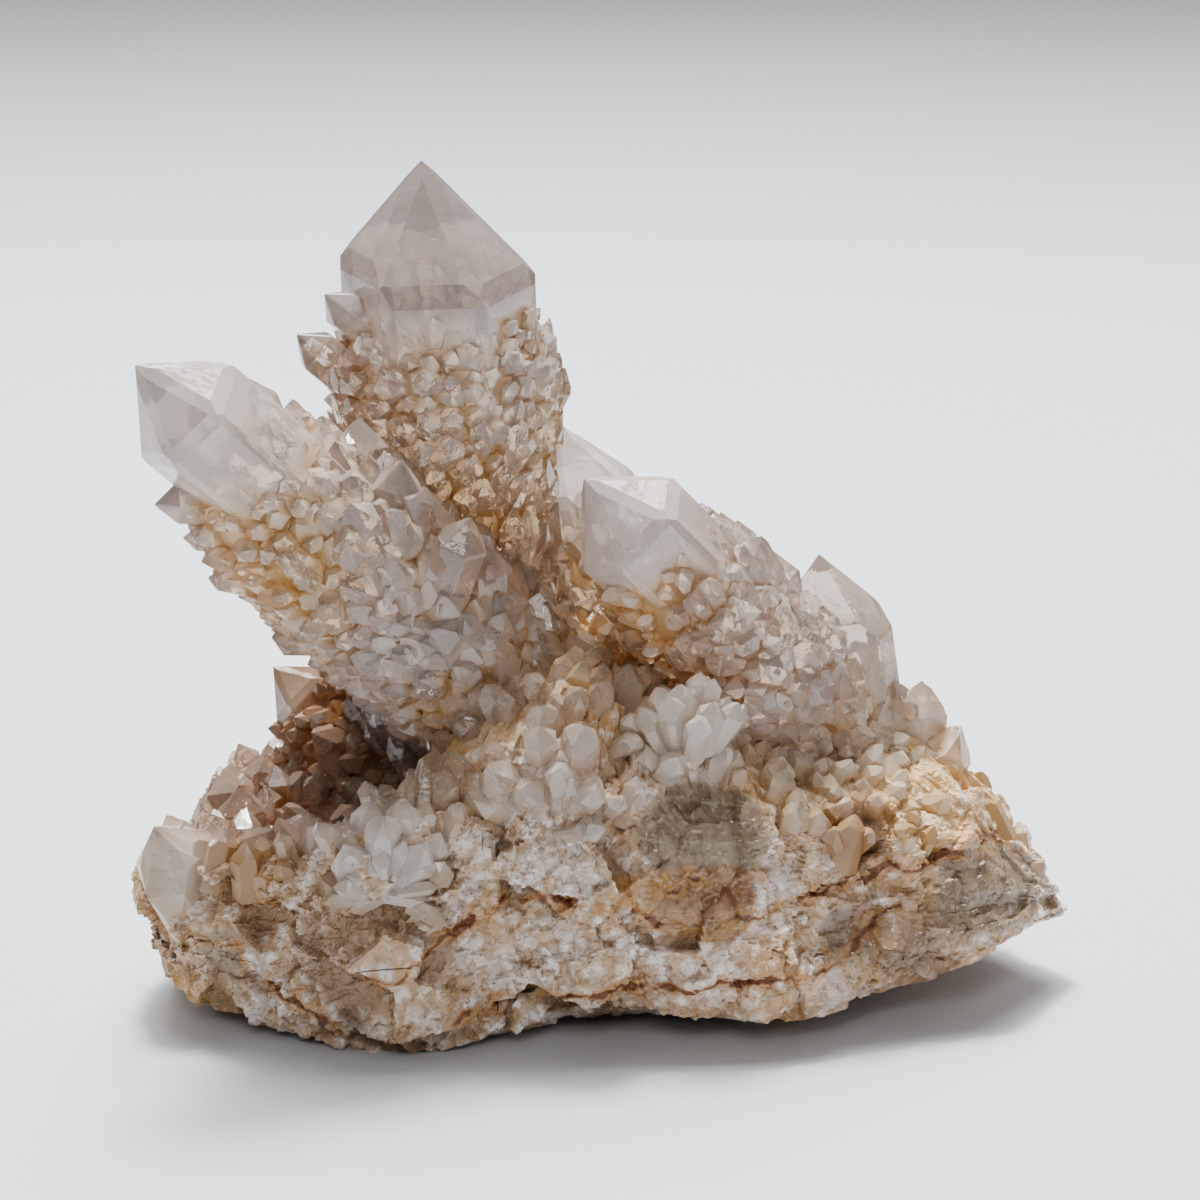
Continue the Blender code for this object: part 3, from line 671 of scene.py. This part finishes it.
def spots(places, rows, wobble=0.35):
    """Soft round spots, one minus the product of what each leaves, with edges broken by noise."""
    left = np.ones(len(places))
    moved = places + 2.0 * np.stack([lumps(places, 3.1, seed) for seed in (2.0, 12.0, 22.0)], 1) * wobble
    for x, y, z, reach, strength in rows:
        away = np.linalg.norm((moved - [x, y, z]) / [1.0, 1.6, 1.0], axis=1)
        left *= 1 - strength * np.exp(-((away / reach) ** 2))
    return 1 - left

# %% [markdown]
# ## The broken rock
# The sides show fresh breaks: flat chips of several sizes, one on another, and a sugary grain. The grid is
# finer on the front, where the break is seen from near. Corners below the floor are set on it, which gives
# the flat spot that the cluster rests on.

# %% Rock body
def rock_normals(turn, level):
    """Outward directions of the rock's surface, from small steps along both of its parameters."""
    step = 0.004
    around = rock_places(turn + step, level) - rock_places(turn - step, level)
    upward = rock_places(turn, np.minimum(level + step, 1.0)) - rock_places(turn, np.maximum(level - step, 0.0))
    normal = np.cross(around, upward)
    return normal / np.maximum(np.linalg.norm(normal, axis=-1, keepdims=True), 1e-9)


def ledges(places):
    """The larger steps and dents of the broken sides, as a push outwards."""
    return sum(
        push * np.exp(-((np.linalg.norm(places - [x, y, z], axis=-1) / spread) ** 2))
        for x, y, z, push, spread in ROCK_LEDGES
    )


def closed_grid(name, rows, low, high, point_values):
    """A closed mesh from rings of corners (rows, columns, 3) with one corner below and one above them."""
    count, columns = rows.shape[:2]
    places = np.concatenate([rows.reshape(-1, 3), [low, high]])
    one = np.arange((count - 1) * columns)
    side = one // columns * columns
    after = side + (one + 1) % columns
    quads = np.stack([one, after, after + columns, one + columns], 1).ravel()
    ring = np.arange(columns)
    step = (ring + 1) % columns
    below = np.stack([step, ring, np.full(columns, count * columns)], 1).ravel()
    above = np.stack([ring, step, np.full(columns, 1)], 1)
    above[:, :2] += (count - 1) * columns
    above[:, 2] = count * columns + 1
    corners = np.concatenate([quads, below, above.ravel()])
    totals = np.r_[np.full(len(one), 4), np.full(2 * columns, 3)]
    return mesh_object(name, places, corners, totals, point_values)


def rock_body(name, columns=640, bottom=12, sides=116, top=22):
    """The block's surface: rings at growing levels, pushed along their normals by ledges, chips and lumps."""
    even = np.linspace(0, 2 * np.pi, 721)
    density = outline_radius(even) * np.where(np.sin(even) < 0.25, 2.6, 1.0)
    way = np.r_[0, np.cumsum((density[1:] + density[:-1]) / 2)]
    turn = np.interp(np.arange(columns) / columns * way[-1], way, even)
    level = np.r_[
        np.linspace(0.02, 0.17, bottom, endpoint=False),
        np.linspace(0.17, 0.62, sides, endpoint=False),
        np.linspace(0.62, 0.98, top),
    ]
    turn, level = np.meshgrid(turn, level)
    base = rock_places(turn, level).reshape(-1, 3)
    normal = rock_normals(turn, level).reshape(-1, 3)
    broken = 1.7 * chips(base, 9.0, 3.0) + 1.0 * chips(base, 4.1, 9.0) + 0.45 * chips(base, 1.8, 17.0)
    broken += 0.8 * lumps(base, 6.0, 5.0) + 0.26 * chips(base, 0.95, 23.0) + 0.12 * lumps(base, 0.5, 3.0)
    broken *= 1 - 0.85 * spots(base, SMOKE + AMBER)
    broken *= 1 - 0.8 * np.exp(-(((base[:, 0] - 49.0) / 5.0) ** 2))
    broken = 2.2 * np.tanh(broken / 2.2)
    side = np.clip(np.abs(normal[:, 2]) * -2.0 + 2.2, 0.35, 1.0)
    places = base + normal * (ledges(base) + (broken - 0.3) * side)[:, None]
    ends = rock_places(np.zeros(2), np.array([0.0, 1.0]))
    whole = np.concatenate([places, ends]) + SHIFT
    whole = np.clip(whole, np.array(CAD_BOX[0]) / MM, np.array(CAD_BOX[1]) / MM) - SHIFT
    rows = whole[:-2].reshape(*turn.shape, 3)
    # How deep each corner lies among the chips; the rock material darkens the deep ones as painted shade.
    painted_dent_shade = np.clip(0.5 + 0.35 * np.r_[broken, 0.0, 0.0], 0, 1)
    return closed_grid(name, rows, whole[-2], whole[-1], {"rise": painted_dent_shade})


rock = rock_body("rock_body")
print("rock:", len(rock.data.polygons), "faces")

# %% [markdown]
# ## Small crystals on the rock
# They cover the top of the block, and their direction follows the ground with some disorder of its own. In
# a few places several grow from one foot and spread like petals.

# %% Crop of the rock
# Places where the small crystals are larger or smaller: x, y, spread, factor
GROWTH = ((-33.0, -2.0, 9.0, 0.45), (-4.0, -15.0, 12.0, 0.15))
FANS = (
    (
        (8.5, -11.0, 25.0),
        (
            (5.8, -14.0, 35.8), (8.1, -15.0, 36.4), (10.8, -13.0, 36.6), (11.4, -16.0, 34.9), (13.8, -15.0, 34.4),
            (4.2, -15.0, 34.0), (7.0, -17.0, 35.6), (10.0, -18.0, 33.8),
        ),
        1.55,
    ),
    (
        (-4.0, -11.0, 20.0),
        (
            (-10.5, -20.0, 29.5), (-7.0, -21.5, 28.0), (-3.5, -21.5, 30.0), (0.0, -22.0, 28.0),
            (-5.5, -19.5, 33.5), (-1.0, -20.0, 33.8), (-12.5, -18.5, 26.5),
        ),
        2.0,
    ),
    (
        (-20.5, -15.0, 11.0),
        ((-24.2, -21.5, 22.4), (-20.3, -22.5, 25.6), (-16.3, -22.0, 22.6), (-26.8, -19.5, 18.8)),
        2.2,
    ),
    ((-35.5, -2.0, 7.0), ((-39.3, -6.5, 20.8), (-35.4, -3.5, 22.4), (-37.5, 4.0, 22.5)), 2.9),
    ((-31.0, -5.0, 6.0), ((-29.8, -11.8, 18.8), (-34.5, -12.8, 18.5)), 2.9),
    ((32.0, 3.0, 16.0), ((33.0, 3.0, 31.5), (37.0, 2.0, 27.0)), 2.9),
)
ROSETTE_FOOT = (-20.3, -20.4, 17.0)
ROSETTE_RAYS = 13


def rosette():
    """Tips of thin crystals that fan out over the front: on an arc of two thirds of a circle round the foot."""
    turn = np.linspace(-2.0, 2.0, ROSETTE_RAYS)
    reach = 5.2 + 1.3 * np.sin(turn * 7.0)
    ends = np.stack([np.sin(turn) * reach, -1.4 - 0.5 * np.cos(turn * 5.0), np.cos(turn) * reach], 1)
    return ends + ROSETTE_FOOT


def rock_crop(rng, step=2.35):
    """Tips, directions and radii of the small crystals on the rock: a jittered net, then the fans."""
    x, row = np.meshgrid(np.arange(-54, 54, step), np.arange(-34, 34))
    y = row * step * math.sqrt(3) / 2
    x = x + (row % 2) * step / 2
    x, y = (value.ravel() + rng.normal(size=value.size) * 0.24 * step for value in (x, y))
    out = how_far_out(x, y)
    on = out < 0.955
    x, y, out = x[on], y[on], out[on]
    turn = np.arctan2(y - ROCK_MIDDLE[1], x - ROCK_MIDDLE[0]) % (2 * np.pi)
    level = np.interp(-out, -ROCK_PROFILE[6:, 1], ROCK_PROFILE[6:, 0])
    places = rock_places(turn, level)
    normal = rock_normals(turn, level)
    growth = 1 + sum(
        factor * np.exp(-(((x - spot_x) ** 2 + (y - spot_y) ** 2) / spread**2))
        for spot_x, spot_y, spread, factor in GROWTH
    )
    growth = growth * rng.uniform(0.7, 1.3, len(x))
    radii = 0.52 * step * growth
    ways = unit(unit(normal + [0.0, 0.0, 0.5]) + rng.normal(size=normal.shape) * 0.26)
    mound = np.exp(-(((x + 4) / 14) ** 2) - ((y + 14) / 8) ** 2)
    worn = np.exp(-(((x - 36) / 16) ** 2) - ((y - 2) / 20) ** 2)
    lift = rng.uniform(1.3, 3.4, len(x)) * growth * (1 - 0.6 * worn) + rng.uniform(0, 2.4, len(x)) * mound
    lift = np.minimum(lift, 2.8 * radii)
    tips = places + ways * lift[:, None]
    keep = ~buried(tips + [0.0, 0.0, 100.0], POINTS, 0.8) & (spots(places, SMOKE + AMBER + SUGAR) < 0.45)
    tips, ways, radii = with_young(tips[keep], ways[keep], radii[keep], rng.random(keep.sum()) < 0.3, rng)
    for foot, ends, radius in FANS:
        ends = np.array(ends)
        more = len(ends)
        pick = rng.integers(len(ends), size=more)
        extra = ends[pick] + rng.normal(size=(more, 3)) * [1.6, 0.8, 1.6] - [0.0, -1.4, 1.6]
        tips = np.concatenate([tips, ends, extra])
        ways = np.concatenate([ways, unit(ends - foot), unit(extra - foot)])
        radii = np.r_[radii, np.full(len(ends), radius), radius * rng.uniform(0.6, 0.85, more)]
    rays = rosette()
    tips = np.concatenate([tips, rays])
    ways = np.concatenate([ways, unit(rays - ROSETTE_FOOT)])
    return tips, ways, np.r_[radii, rng.uniform(0.8, 1.15, len(rays))]


def buried_in(places, names, margin):
    """Whether places lie inside one of the named large points."""
    return buried(places + [0.0, 0.0, 0.0], names, margin)


crop_dice = np.random.default_rng(31)
tips, ways, radii = rock_crop(crop_dice)
first = crystals("rock_druse", tips[:1], ways[:1], radii[:1], crop_dice)
druse = grown_over(first, tips[1:], ways[1:], radii[1:], crop_dice)
corner = single("corner_quartz", (-37.5, -6.0, 6.0), (-43.5, -13.0, 21.5), 5.2, crop_dice, 25.0, 0.5, 0.06)

# %% [markdown]
# ## Colours on the meshes
# Each corner of a mesh gets its values: how far it stands out from the gaps, which sets their painted shade,
# how bare the crystal is there, and how much ochre, rust with painted shade, smoke, amber or sugar white lies there.

# %% Values on the meshes
def vein_strength(places):
    """How near places are to the iron veins, seen from the front: 1 on a line, 0 two millimetres off."""
    wavy = places[:, [0, 2]] + 0.9 * np.stack([lumps(places, 2.4, 4.0), lumps(places, 2.4, 14.0)], 1)
    wavy += 0.35 * np.stack([lumps(places, 0.8, 6.0), lumps(places, 0.8, 16.0)], 1)
    nearest = np.full(len(places), 9.0)
    for line in VEINS:
        for start, end in zip(np.array(line[:-1]), np.array(line[1:])):
            along = np.clip(((wavy - start) @ (end - start)) / ((end - start) @ (end - start)), 0, 1)
            nearest = np.minimum(nearest, np.linalg.norm(wavy - start - along[:, None] * (end - start), axis=1))
    width = np.maximum(0.36 + 0.35 * lumps(places, 2.0, 8.0), 0.15)
    line = np.exp(-((nearest / width) ** 2)) * np.clip(0.85 + 1.0 * lumps(places, 2.6, 33.0), 0.25, 1)
    return 0.9 * line + 0.34 * np.exp(-((nearest / 1.9) ** 2)) * (0.5 + 1.1 * lumps(places, 1.1, 21.0))


def colour_point(obj, name):
    """Values for a large point: how far each corner stands out of the sleeve, which sets the painted shade of the
    gaps, and its stains, the rust with painted shade.
    """
    point = POINTS[name]
    places = places_of(obj)
    root, tip = np.array(point["root"]), np.array(point["tip"])
    axis = unit(tip - root)
    length = np.linalg.norm(tip - root) - point["bare"]
    along = (places - root) @ axis
    off = np.linalg.norm(places - root - along[:, None] * axis, axis=1)
    rise = (off - sleeve_radius(point, along / length) + 0.4) / 2.2
    end = np.clip((along - length - 0.5) / 2.5, 0, 1)
    rise = np.clip(rise, 0, 1) * (1 - end) + end
    set_values(obj, "rise", rise)
    set_values(obj, "bare", end)
    set_values(obj, "pale", np.zeros(len(places)))
    set_values(obj, "ochre", spots(places, OCHRE) * (1 - 0.8 * end))
    set_values(obj, "rust_and_shade", spots(places, RUST_AND_SHADE) * (1 - end))


def colour_crop(obj):
    """Values for the small crystals on the rock."""
    places = places_of(obj)
    pale = spots(places, PALE)
    rise = (places[:, 2] - ground(places[:, 0], places[:, 1])) / 2.6
    set_values(obj, "rise", np.maximum(rise, pale))
    set_values(obj, "bare", np.zeros(len(places)))
    set_values(obj, "pale", pale)
    set_values(obj, "ochre", spots(places, OCHRE) * (1 - 0.5 * pale))
    set_values(obj, "rust_and_shade", spots(places, RUST_AND_SHADE) * (1 - 0.5 * pale))


for name, obj in points.items():
    colour_point(obj, name)
colour_crop(druse)
colour_crop(corner)
rock_at = places_of(rock)
set_values(rock, "vein", vein_strength(rock_at))
set_values(rock, "smoke", spots(rock_at, SMOKE))
set_values(rock, "amber", spots(rock_at, AMBER))
set_values(rock, "sugar", spots(rock_at, SUGAR))
set_values(rock, "ochre", spots(rock_at, OCHRE))
set_values(rock, "rust_and_shade", spots(rock_at, RUST_AND_SHADE))
print("values written on", len(points) + 3, "meshes")

# %% [markdown]
# ## Quartz
# Clear quartz bends light with an index of 1.544 and takes almost nothing from it. These crystals are milky
# because of tiny bubbles and cracks, so part of the light passes through and part is scattered just below
# the surface. The small crystals' faces are glossy; dust dulls the gaps between them.

# %% Quartz materials
def node_of(tree, kind, **settings):
    """A new node with some of its settings or input values."""
    node = tree.nodes.new(kind)
    for key, value in settings.items():
        if key in node.inputs:
            node.inputs[key].default_value = value
        else:
            setattr(node, key.lower(), value)
    return node


def wire(tree, value, socket):
    """Links a socket, or sets a number or colour."""
    if isinstance(value, bpy.types.NodeSocket):
        tree.links.new(value, socket)
    elif isinstance(value, tuple) and len(value) == 3:
        socket.default_value = (*value, 1.0)
    else:
        socket.default_value = value


def value_of(tree, key):
    """The number that a mesh carries under a name."""
    node = tree.nodes.new("ShaderNodeAttribute")
    node.attribute_name = key
    return node.outputs["Fac"]


def sums(tree, operation, *values):
    """A math node, limited to numbers from 0 to 1."""
    node = tree.nodes.new("ShaderNodeMath")
    node.operation = operation
    node.use_clamp = True
    for socket, value in zip(node.inputs, values):
        wire(tree, value, socket)
    return node.outputs[0]


def ramp(tree, value, start, end, low=0.0, high=1.0):
    """A smooth step: low until start, high from end on."""
    node = tree.nodes.new("ShaderNodeMapRange")
    node.interpolation_type = "SMOOTHSTEP"
    wire(tree, value, node.inputs["Value"])
    for key, number in (("From Min", start), ("From Max", end), ("To Min", low), ("To Max", high)):
        node.inputs[key].default_value = number
    return node.outputs[0]


def blend(tree, share, one, other, kind="MIX"):
    """A mix of two colours."""
    node = tree.nodes.new("ShaderNodeMix")
    node.data_type = "RGBA"
    node.blend_type = kind
    wire(tree, share, node.inputs[0])
    wire(tree, one, node.inputs[6])
    wire(tree, other, node.inputs[7])
    return node.outputs[2]


def grain(tree, size, detail=4.0, roughness=0.55, warp=0.0):
    """Noise in the object's own frame whose lumps are about size millimetres."""
    where = tree.nodes.new("ShaderNodeTexCoord").outputs["Object"]
    node = tree.nodes.new("ShaderNodeTexNoise")
    node.inputs["Scale"].default_value = 1 / (size * MM)
    node.inputs["Detail"].default_value = detail
    node.inputs["Roughness"].default_value = roughness
    node.inputs["Distortion"].default_value = warp
    tree.links.new(where, node.inputs["Vector"])
    return node.outputs["Fac"]


def chip_cells(tree, size, warp):
    """A random number for each chip of about size millimetres, and how far its rim is, from 0 to about 1."""
    where = tree.nodes.new("ShaderNodeTexCoord").outputs["Object"]
    noise = tree.nodes.new("ShaderNodeTexNoise")
    noise.inputs["Scale"].default_value = 0.8 / (size * MM)
    tree.links.new(where, noise.inputs["Vector"])
    moved = tree.nodes.new("ShaderNodeVectorMath")
    moved.operation = "MULTIPLY_ADD"
    tree.links.new(noise.outputs["Color"], moved.inputs[0])
    moved.inputs[1].default_value = (warp * MM,) * 3
    tree.links.new(where, moved.inputs[2])
    found = []
    for feature, output in (("F1", "Color"), ("DISTANCE_TO_EDGE", "Distance")):
        node = tree.nodes.new("ShaderNodeTexVoronoi")
        node.feature = feature
        node.inputs["Scale"].default_value = 1 / (size * MM)
        tree.links.new(moved.outputs[0], node.inputs["Vector"])
        found.append(node.outputs[output])
    split = tree.nodes.new("ShaderNodeSeparateColor")
    tree.links.new(found[0], split.inputs[0])
    return split.outputs[0], found[1]


def bumps(tree, shader, height, distance):
    """Small relief from a height value, in millimetres."""
    node = tree.nodes.new("ShaderNodeBump")
    node.inputs["Strength"].default_value = 1.0
    node.inputs["Distance"].default_value = distance * MM
    tree.links.new(height, node.inputs["Height"])
    tree.links.new(node.outputs[0], shader.inputs["Normal"])


def quartz(name, tint, warm, clearness, bare_light=(0.80, 0.72, 0.68), bare_dark=(0.32, 0.26, 0.24)):
    """Milky quartz: pale tips, warm gaps with iron stain and painted shade, ochre, and rust with painted shade where
    the values say so.
    """
    material = bpy.data.materials.new(name)
    material.use_nodes = True
    tree = material.node_tree
    shader = tree.nodes["Principled BSDF"]
    tone = value_of(tree, "tone")
    rise = value_of(tree, "rise")
    bare = value_of(tree, "bare")
    patchy = grain(tree, 9.0, 2.0)
    fine = grain(tree, 0.8, 3.0)
    # Darker, warmer colour in the gaps between the small crystals: iron stain, and painted shade where they lie deep.
    gap_stain_and_shade = ramp(tree, rise, 0.55, 0.0)
    pale = blend(tree, tone, tint, tuple(0.88 * c for c in tint))
    pale = blend(tree, ramp(tree, patchy, 0.42, 0.64, 0.0, 0.45), pale, (0.76, 0.61, 0.49))
    bared = blend(tree, tone, bare_light, bare_dark)
    pale = blend(tree, ramp(tree, bare, 0.0, 1.0, 0.0, 0.85), pale, bared)
    pale = blend(tree, value_of(tree, "pale"), pale, (0.93, 0.86, 0.80))
    colour = blend(tree, sums(tree, "MULTIPLY", gap_stain_and_shade, ramp(tree, patchy, 0.3, 0.6, 0.55, 1.0)), pale, warm)
    ochre = sums(tree, "MULTIPLY", value_of(tree, "ochre"), ramp(tree, rise, 1.0, 0.1, 0.5, 0.95))
    # Rust stain, and painted shade: it is strongest in the gaps and in the spots over the cave and the recess.
    rust_and_shade = sums(tree, "MULTIPLY", value_of(tree, "rust_and_shade"), ramp(tree, rise, 0.9, 0.0, 0.42, 1.0))
    colour = blend(tree, ochre, colour, (0.78, 0.47, 0.11))
    colour = blend(tree, rust_and_shade, colour, (0.36, 0.12, 0.02))
    specks = ramp(tree, grain(tree, 0.5, 2.0, 0.5), 0.68, 0.72, 0.0, 0.5)
    colour = blend(tree, specks, colour, (0.35, 0.27, 0.22))
    tree.links.new(colour, shader.inputs["Base Color"])
    clear = ramp(tree, rise, 0.1, 1.0, clearness, clearness + 0.32)
    clear = sums(tree, "SUBTRACT", clear, ramp(tree, bare, 0.0, 1.0, 0.0, 0.36))
    clear = sums(tree, "SUBTRACT", clear, ramp(tree, value_of(tree, "pale"), 0.0, 1.0, 0.0, 0.22))
    tree.links.new(clear, shader.inputs["Transmission Weight"])
    rough = sums(tree, "ADD", ramp(tree, rise, 0.6, 0.0, 0.03, 0.3), ramp(tree, fine, 0.45, 0.75, 0.0, 0.08))
    tree.links.new(rough, shader.inputs["Roughness"])
    shader.inputs["IOR"].default_value = 1.544
    absorb = tree.nodes.new("ShaderNodeVolumeAbsorption")
    absorb.inputs["Color"].default_value = (0.88, 0.80, 0.66, 1.0)
    absorb.inputs["Density"].default_value = 120.0
    tree.links.new(absorb.outputs[0], tree.nodes["Material Output"].inputs["Volume"])
    waves = sums(tree, "MULTIPLY", grain(tree, 5.0, 1.0), bare)
    bumps(tree, shader, sums(tree, "ADD", sums(tree, "MULTIPLY", grain(tree, 1.1, 3.0), 0.2), waves), 0.45)
    return material


clear_quartz = quartz("clear_quartz", (0.84, 0.75, 0.70), (0.52, 0.34, 0.19), 0.46)
warm_quartz = quartz("warm_quartz", (0.88, 0.75, 0.62), (0.48, 0.30, 0.14), 0.48)
# Dark brown for the shaded point: iron stain, and painted shade, as that point lies in the shadow of the left point.
stained_quartz = quartz(
    "stained_quartz", (0.34, 0.22, 0.13), (0.12, 0.055, 0.02), 0.35, (0.20, 0.125, 0.075), (0.20, 0.125, 0.075),
)

# %% [markdown]
# ## Vein rock
# The block is massive quartz, white where it broke to sugar and grey where it is smoky, with rust in its
# cracks. Grains show as small changes of colour and of height.

# %% Rock material
def vein_rock(name):
    """Broken quartz: grey and cream by patches, painted shade in dents, then veins, smoke, amber and sugar."""
    material = bpy.data.materials.new(name)
    material.use_nodes = True
    tree = material.node_tree
    shader = tree.nodes["Principled BSDF"]
    large = grain(tree, 8.0, 3.0, 0.6, 0.8)
    middle = grain(tree, 2.6, 4.0, 0.6, 0.6)
    fine = grain(tree, 0.55, 3.0, 0.6)
    number, edge = chip_cells(tree, 2.3, 1.1)
    small_number, small_edge = chip_cells(tree, 0.9, 0.5)
    colour = blend(tree, ramp(tree, large, 0.40, 0.60), (0.70, 0.58, 0.52), (0.80, 0.63, 0.44))
    colour = blend(tree, ramp(tree, number, 0.45, 0.75, 0.0, 0.75), colour, (0.84, 0.74, 0.66))
    colour = blend(tree, ramp(tree, number, 0.30, 0.12, 0.0, 0.8), colour, (0.40, 0.28, 0.20))
    colour = blend(tree, ramp(tree, small_number, 0.30, 0.10, 0.0, 0.6), colour, (0.36, 0.22, 0.12))
    colour = blend(tree, ramp(tree, small_number, 0.72, 0.85, 0.0, 0.85), colour, (0.94, 0.90, 0.86))
    colour = blend(tree, ramp(tree, fine, 0.57, 0.66, 0.0, 0.8), colour, (0.28, 0.17, 0.10))
    broken = ramp(tree, fine, 0.60, 0.44, 0.1, 1.0)
    colour = blend(tree, sums(tree, "MULTIPLY", value_of(tree, "sugar"), broken), colour, (0.92, 0.87, 0.84))
    seam = sums(tree, "MULTIPLY", ramp(tree, edge, 0.34, 0.04), ramp(tree, large, 0.36, 0.56, 0.15, 1.0))
    colour = blend(tree, sums(tree, "MULTIPLY", seam, 0.8), colour, (0.42, 0.24, 0.10))
    # Painted shade: darker brown in the dents between the chips.
    painted_dent_shade = ramp(tree, value_of(tree, "rise"), 0.46, 0.12, 0.0, 0.9)
    colour = blend(tree, painted_dent_shade, colour, (0.26, 0.16, 0.08))
    ochre = sums(tree, "MULTIPLY", value_of(tree, "ochre"), ramp(tree, middle, 0.36, 0.56, 0.3, 1.0))
    colour = blend(tree, ochre, colour, (0.62, 0.35, 0.10))
    smoky = blend(tree, ramp(tree, middle, 0.35, 0.62), (0.21, 0.14, 0.085), (0.36, 0.265, 0.175))
    colour = blend(tree, ramp(tree, value_of(tree, "smoke"), 0.38, 0.55, 0.0, 0.95), colour, smoky)
    honey = blend(tree, ramp(tree, middle, 0.35, 0.62), (0.22, 0.085, 0.025), (0.42, 0.23, 0.11))
    colour = blend(tree, ramp(tree, value_of(tree, "amber"), 0.38, 0.55, 0.0, 0.95), colour, honey)
    vein = value_of(tree, "vein")
    colour = blend(tree, ramp(tree, vein, 0.08, 0.34, 0.0, 0.7), colour, (0.50, 0.25, 0.07))
    colour = blend(tree, ramp(tree, vein, 0.42, 0.8), colour, (0.16, 0.055, 0.015))
    # Rust stain, and painted shade in the spots over the cave and the low right of the rock.
    colour = blend(tree, value_of(tree, "rust_and_shade"), colour, (0.12, 0.04, 0.01))
    tree.links.new(colour, shader.inputs["Base Color"])
    glassy = sums(tree, "ADD", value_of(tree, "smoke"), value_of(tree, "amber"))
    dull = sums(tree, "ADD", ramp(tree, glassy, 0.2, 0.8, 0.20, 0.0), ramp(tree, small_number, 0.3, 0.9, 0.1, 0.4))
    tree.links.new(dull, shader.inputs["Roughness"])
    shader.inputs["IOR"].default_value = 1.544
    tree.links.new(ramp(tree, glassy, 0.3, 0.9, 0.0, 0.3), shader.inputs["Transmission Weight"])
    height = sums(tree, "ADD", sums(tree, "MULTIPLY", small_edge, 0.6), sums(tree, "MULTIPLY", fine, 0.6))
    height = sums(tree, "MULTIPLY", height, ramp(tree, glassy, 0.2, 0.8, 1.0, 0.25))
    bumps(tree, shader, height, 0.55)
    return material


rock_material = vein_rock("vein_rock")

# %% [markdown]
# ## Putting the pieces in place
# The meshes take the places of the solids. All of them are grown together, so each rides the one body.

# %% Pieces
def hand_over(obj, node, material):
    """Gives a mesh its material and its place in the frame, in the stead of a solid."""
    obj.data.materials.clear()
    obj.data.materials.append(material)
    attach(obj, "root")
    if node:
        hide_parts(node)


hand_over(rock, "rock", rock_material)
hand_over(druse, None, warm_quartz)
hand_over(corner, "corner_crystal", warm_quartz)
for name, obj in points.items():
    # The shaded point gets the darker quartz: iron stain and painted shade.
    stained_and_shaded = name == "shaded_point"
    hand_over(obj, name, stained_quartz if stained_and_shaded else clear_quartz)
print("pieces:", [rock.name, druse.name, corner.name] + [obj.name for obj in points.values()])

# %% [markdown]
# ## Studio
# The specimen stands on a wide pale sheet under one large soft lamp, with a weak one in front. A few small
# bright lamps give the crystals their glints.

# %% Floor, lamps and camera
bpy.ops.mesh.primitive_circle_add(vertices=96, radius=2.2, fill_type="NGON")
floor = bpy.context.object
floor.name = "studio_floor"
sheet = bpy.data.materials.new("studio_sheet")
sheet.use_nodes = True
sheet.node_tree.nodes["Principled BSDF"].inputs["Base Color"].default_value = (0.585, 0.60, 0.63, 1.0)
sheet.node_tree.nodes["Principled BSDF"].inputs["Roughness"].default_value = 0.7
floor.data.materials.append(sheet)

AIM = Vector((0.00035, 0.0, 0.04066)) + Vector(SHIFT) * MM
AIM.z = 0.04066


GLINTS = (
    (-0.50, -0.40, 0.60), (0.10, -0.60, 0.55), (-0.20, -0.25, 0.80), (0.45, -0.10, 0.62), (-0.62, 0.05, 0.45),
    (0.50, -0.50, 0.35), (0.15, 0.05, 0.85),
)


def lamp(name, place, size, power, colour=(1.0, 1.0, 1.0)):
    """A square soft lamp at a place, turned to the specimen."""
    data = bpy.data.lights.new(name, "AREA")
    data.size = size
    data.energy = power
    data.color = colour
    obj = bpy.data.objects.new(name, data)
    bpy.context.scene.collection.objects.link(obj)
    obj.location = place
    obj.rotation_euler = (Vector(place) - AIM).to_track_quat("Z", "Y").to_euler()
    return obj


lamp("sky_lamp", (-0.02, 0.30, 0.78), 0.60, 17.0)
lamp("window_lamp", (-0.06, 0.22, 0.82), 0.15, 13.5)
lamp("front_lamp", (-0.05, -0.75, 0.60), 0.30, 1.8)
for number, place in enumerate(GLINTS):
    lamp(f"glint_lamp_{number}", place, 0.035, 0.18)
world = bpy.data.worlds.new("studio_air")
world.use_nodes = True
air = world.node_tree
air.nodes["Background"].inputs["Strength"].default_value = 0.44
direction = air.nodes.new("ShaderNodeSeparateXYZ")
air.links.new(air.nodes.new("ShaderNodeTexCoord").outputs["Generated"], direction.inputs[0])
side = ramp(air, direction.outputs["Y"], -0.5, 0.4, 0.25, 1.0)
high = ramp(air, direction.outputs["Z"], 0.0, 0.8, 0.0, 1.0)
glow = sums(air, "MULTIPLY", side, sums(air, "ADD", high, 0.35))
air.links.new(blend(air, glow, (0.0, 0.0, 0.0), (0.92, 0.93, 0.96)), air.nodes["Background"].inputs["Color"])
bpy.context.scene.world = world

camera = bpy.data.cameras.new("photo_camera")
camera.lens = 105
camera.sensor_width = 36
camera.clip_start = 0.01
eye = bpy.data.objects.new("photo_camera", camera)
bpy.context.scene.collection.objects.link(eye)
tilt = math.radians(15)
eye.location = AIM + Vector((0.0, -math.cos(tilt), math.sin(tilt))) * 0.35
eye.rotation_euler = (math.radians(75), 0.0, 0.0)
bpy.context.scene.camera = eye
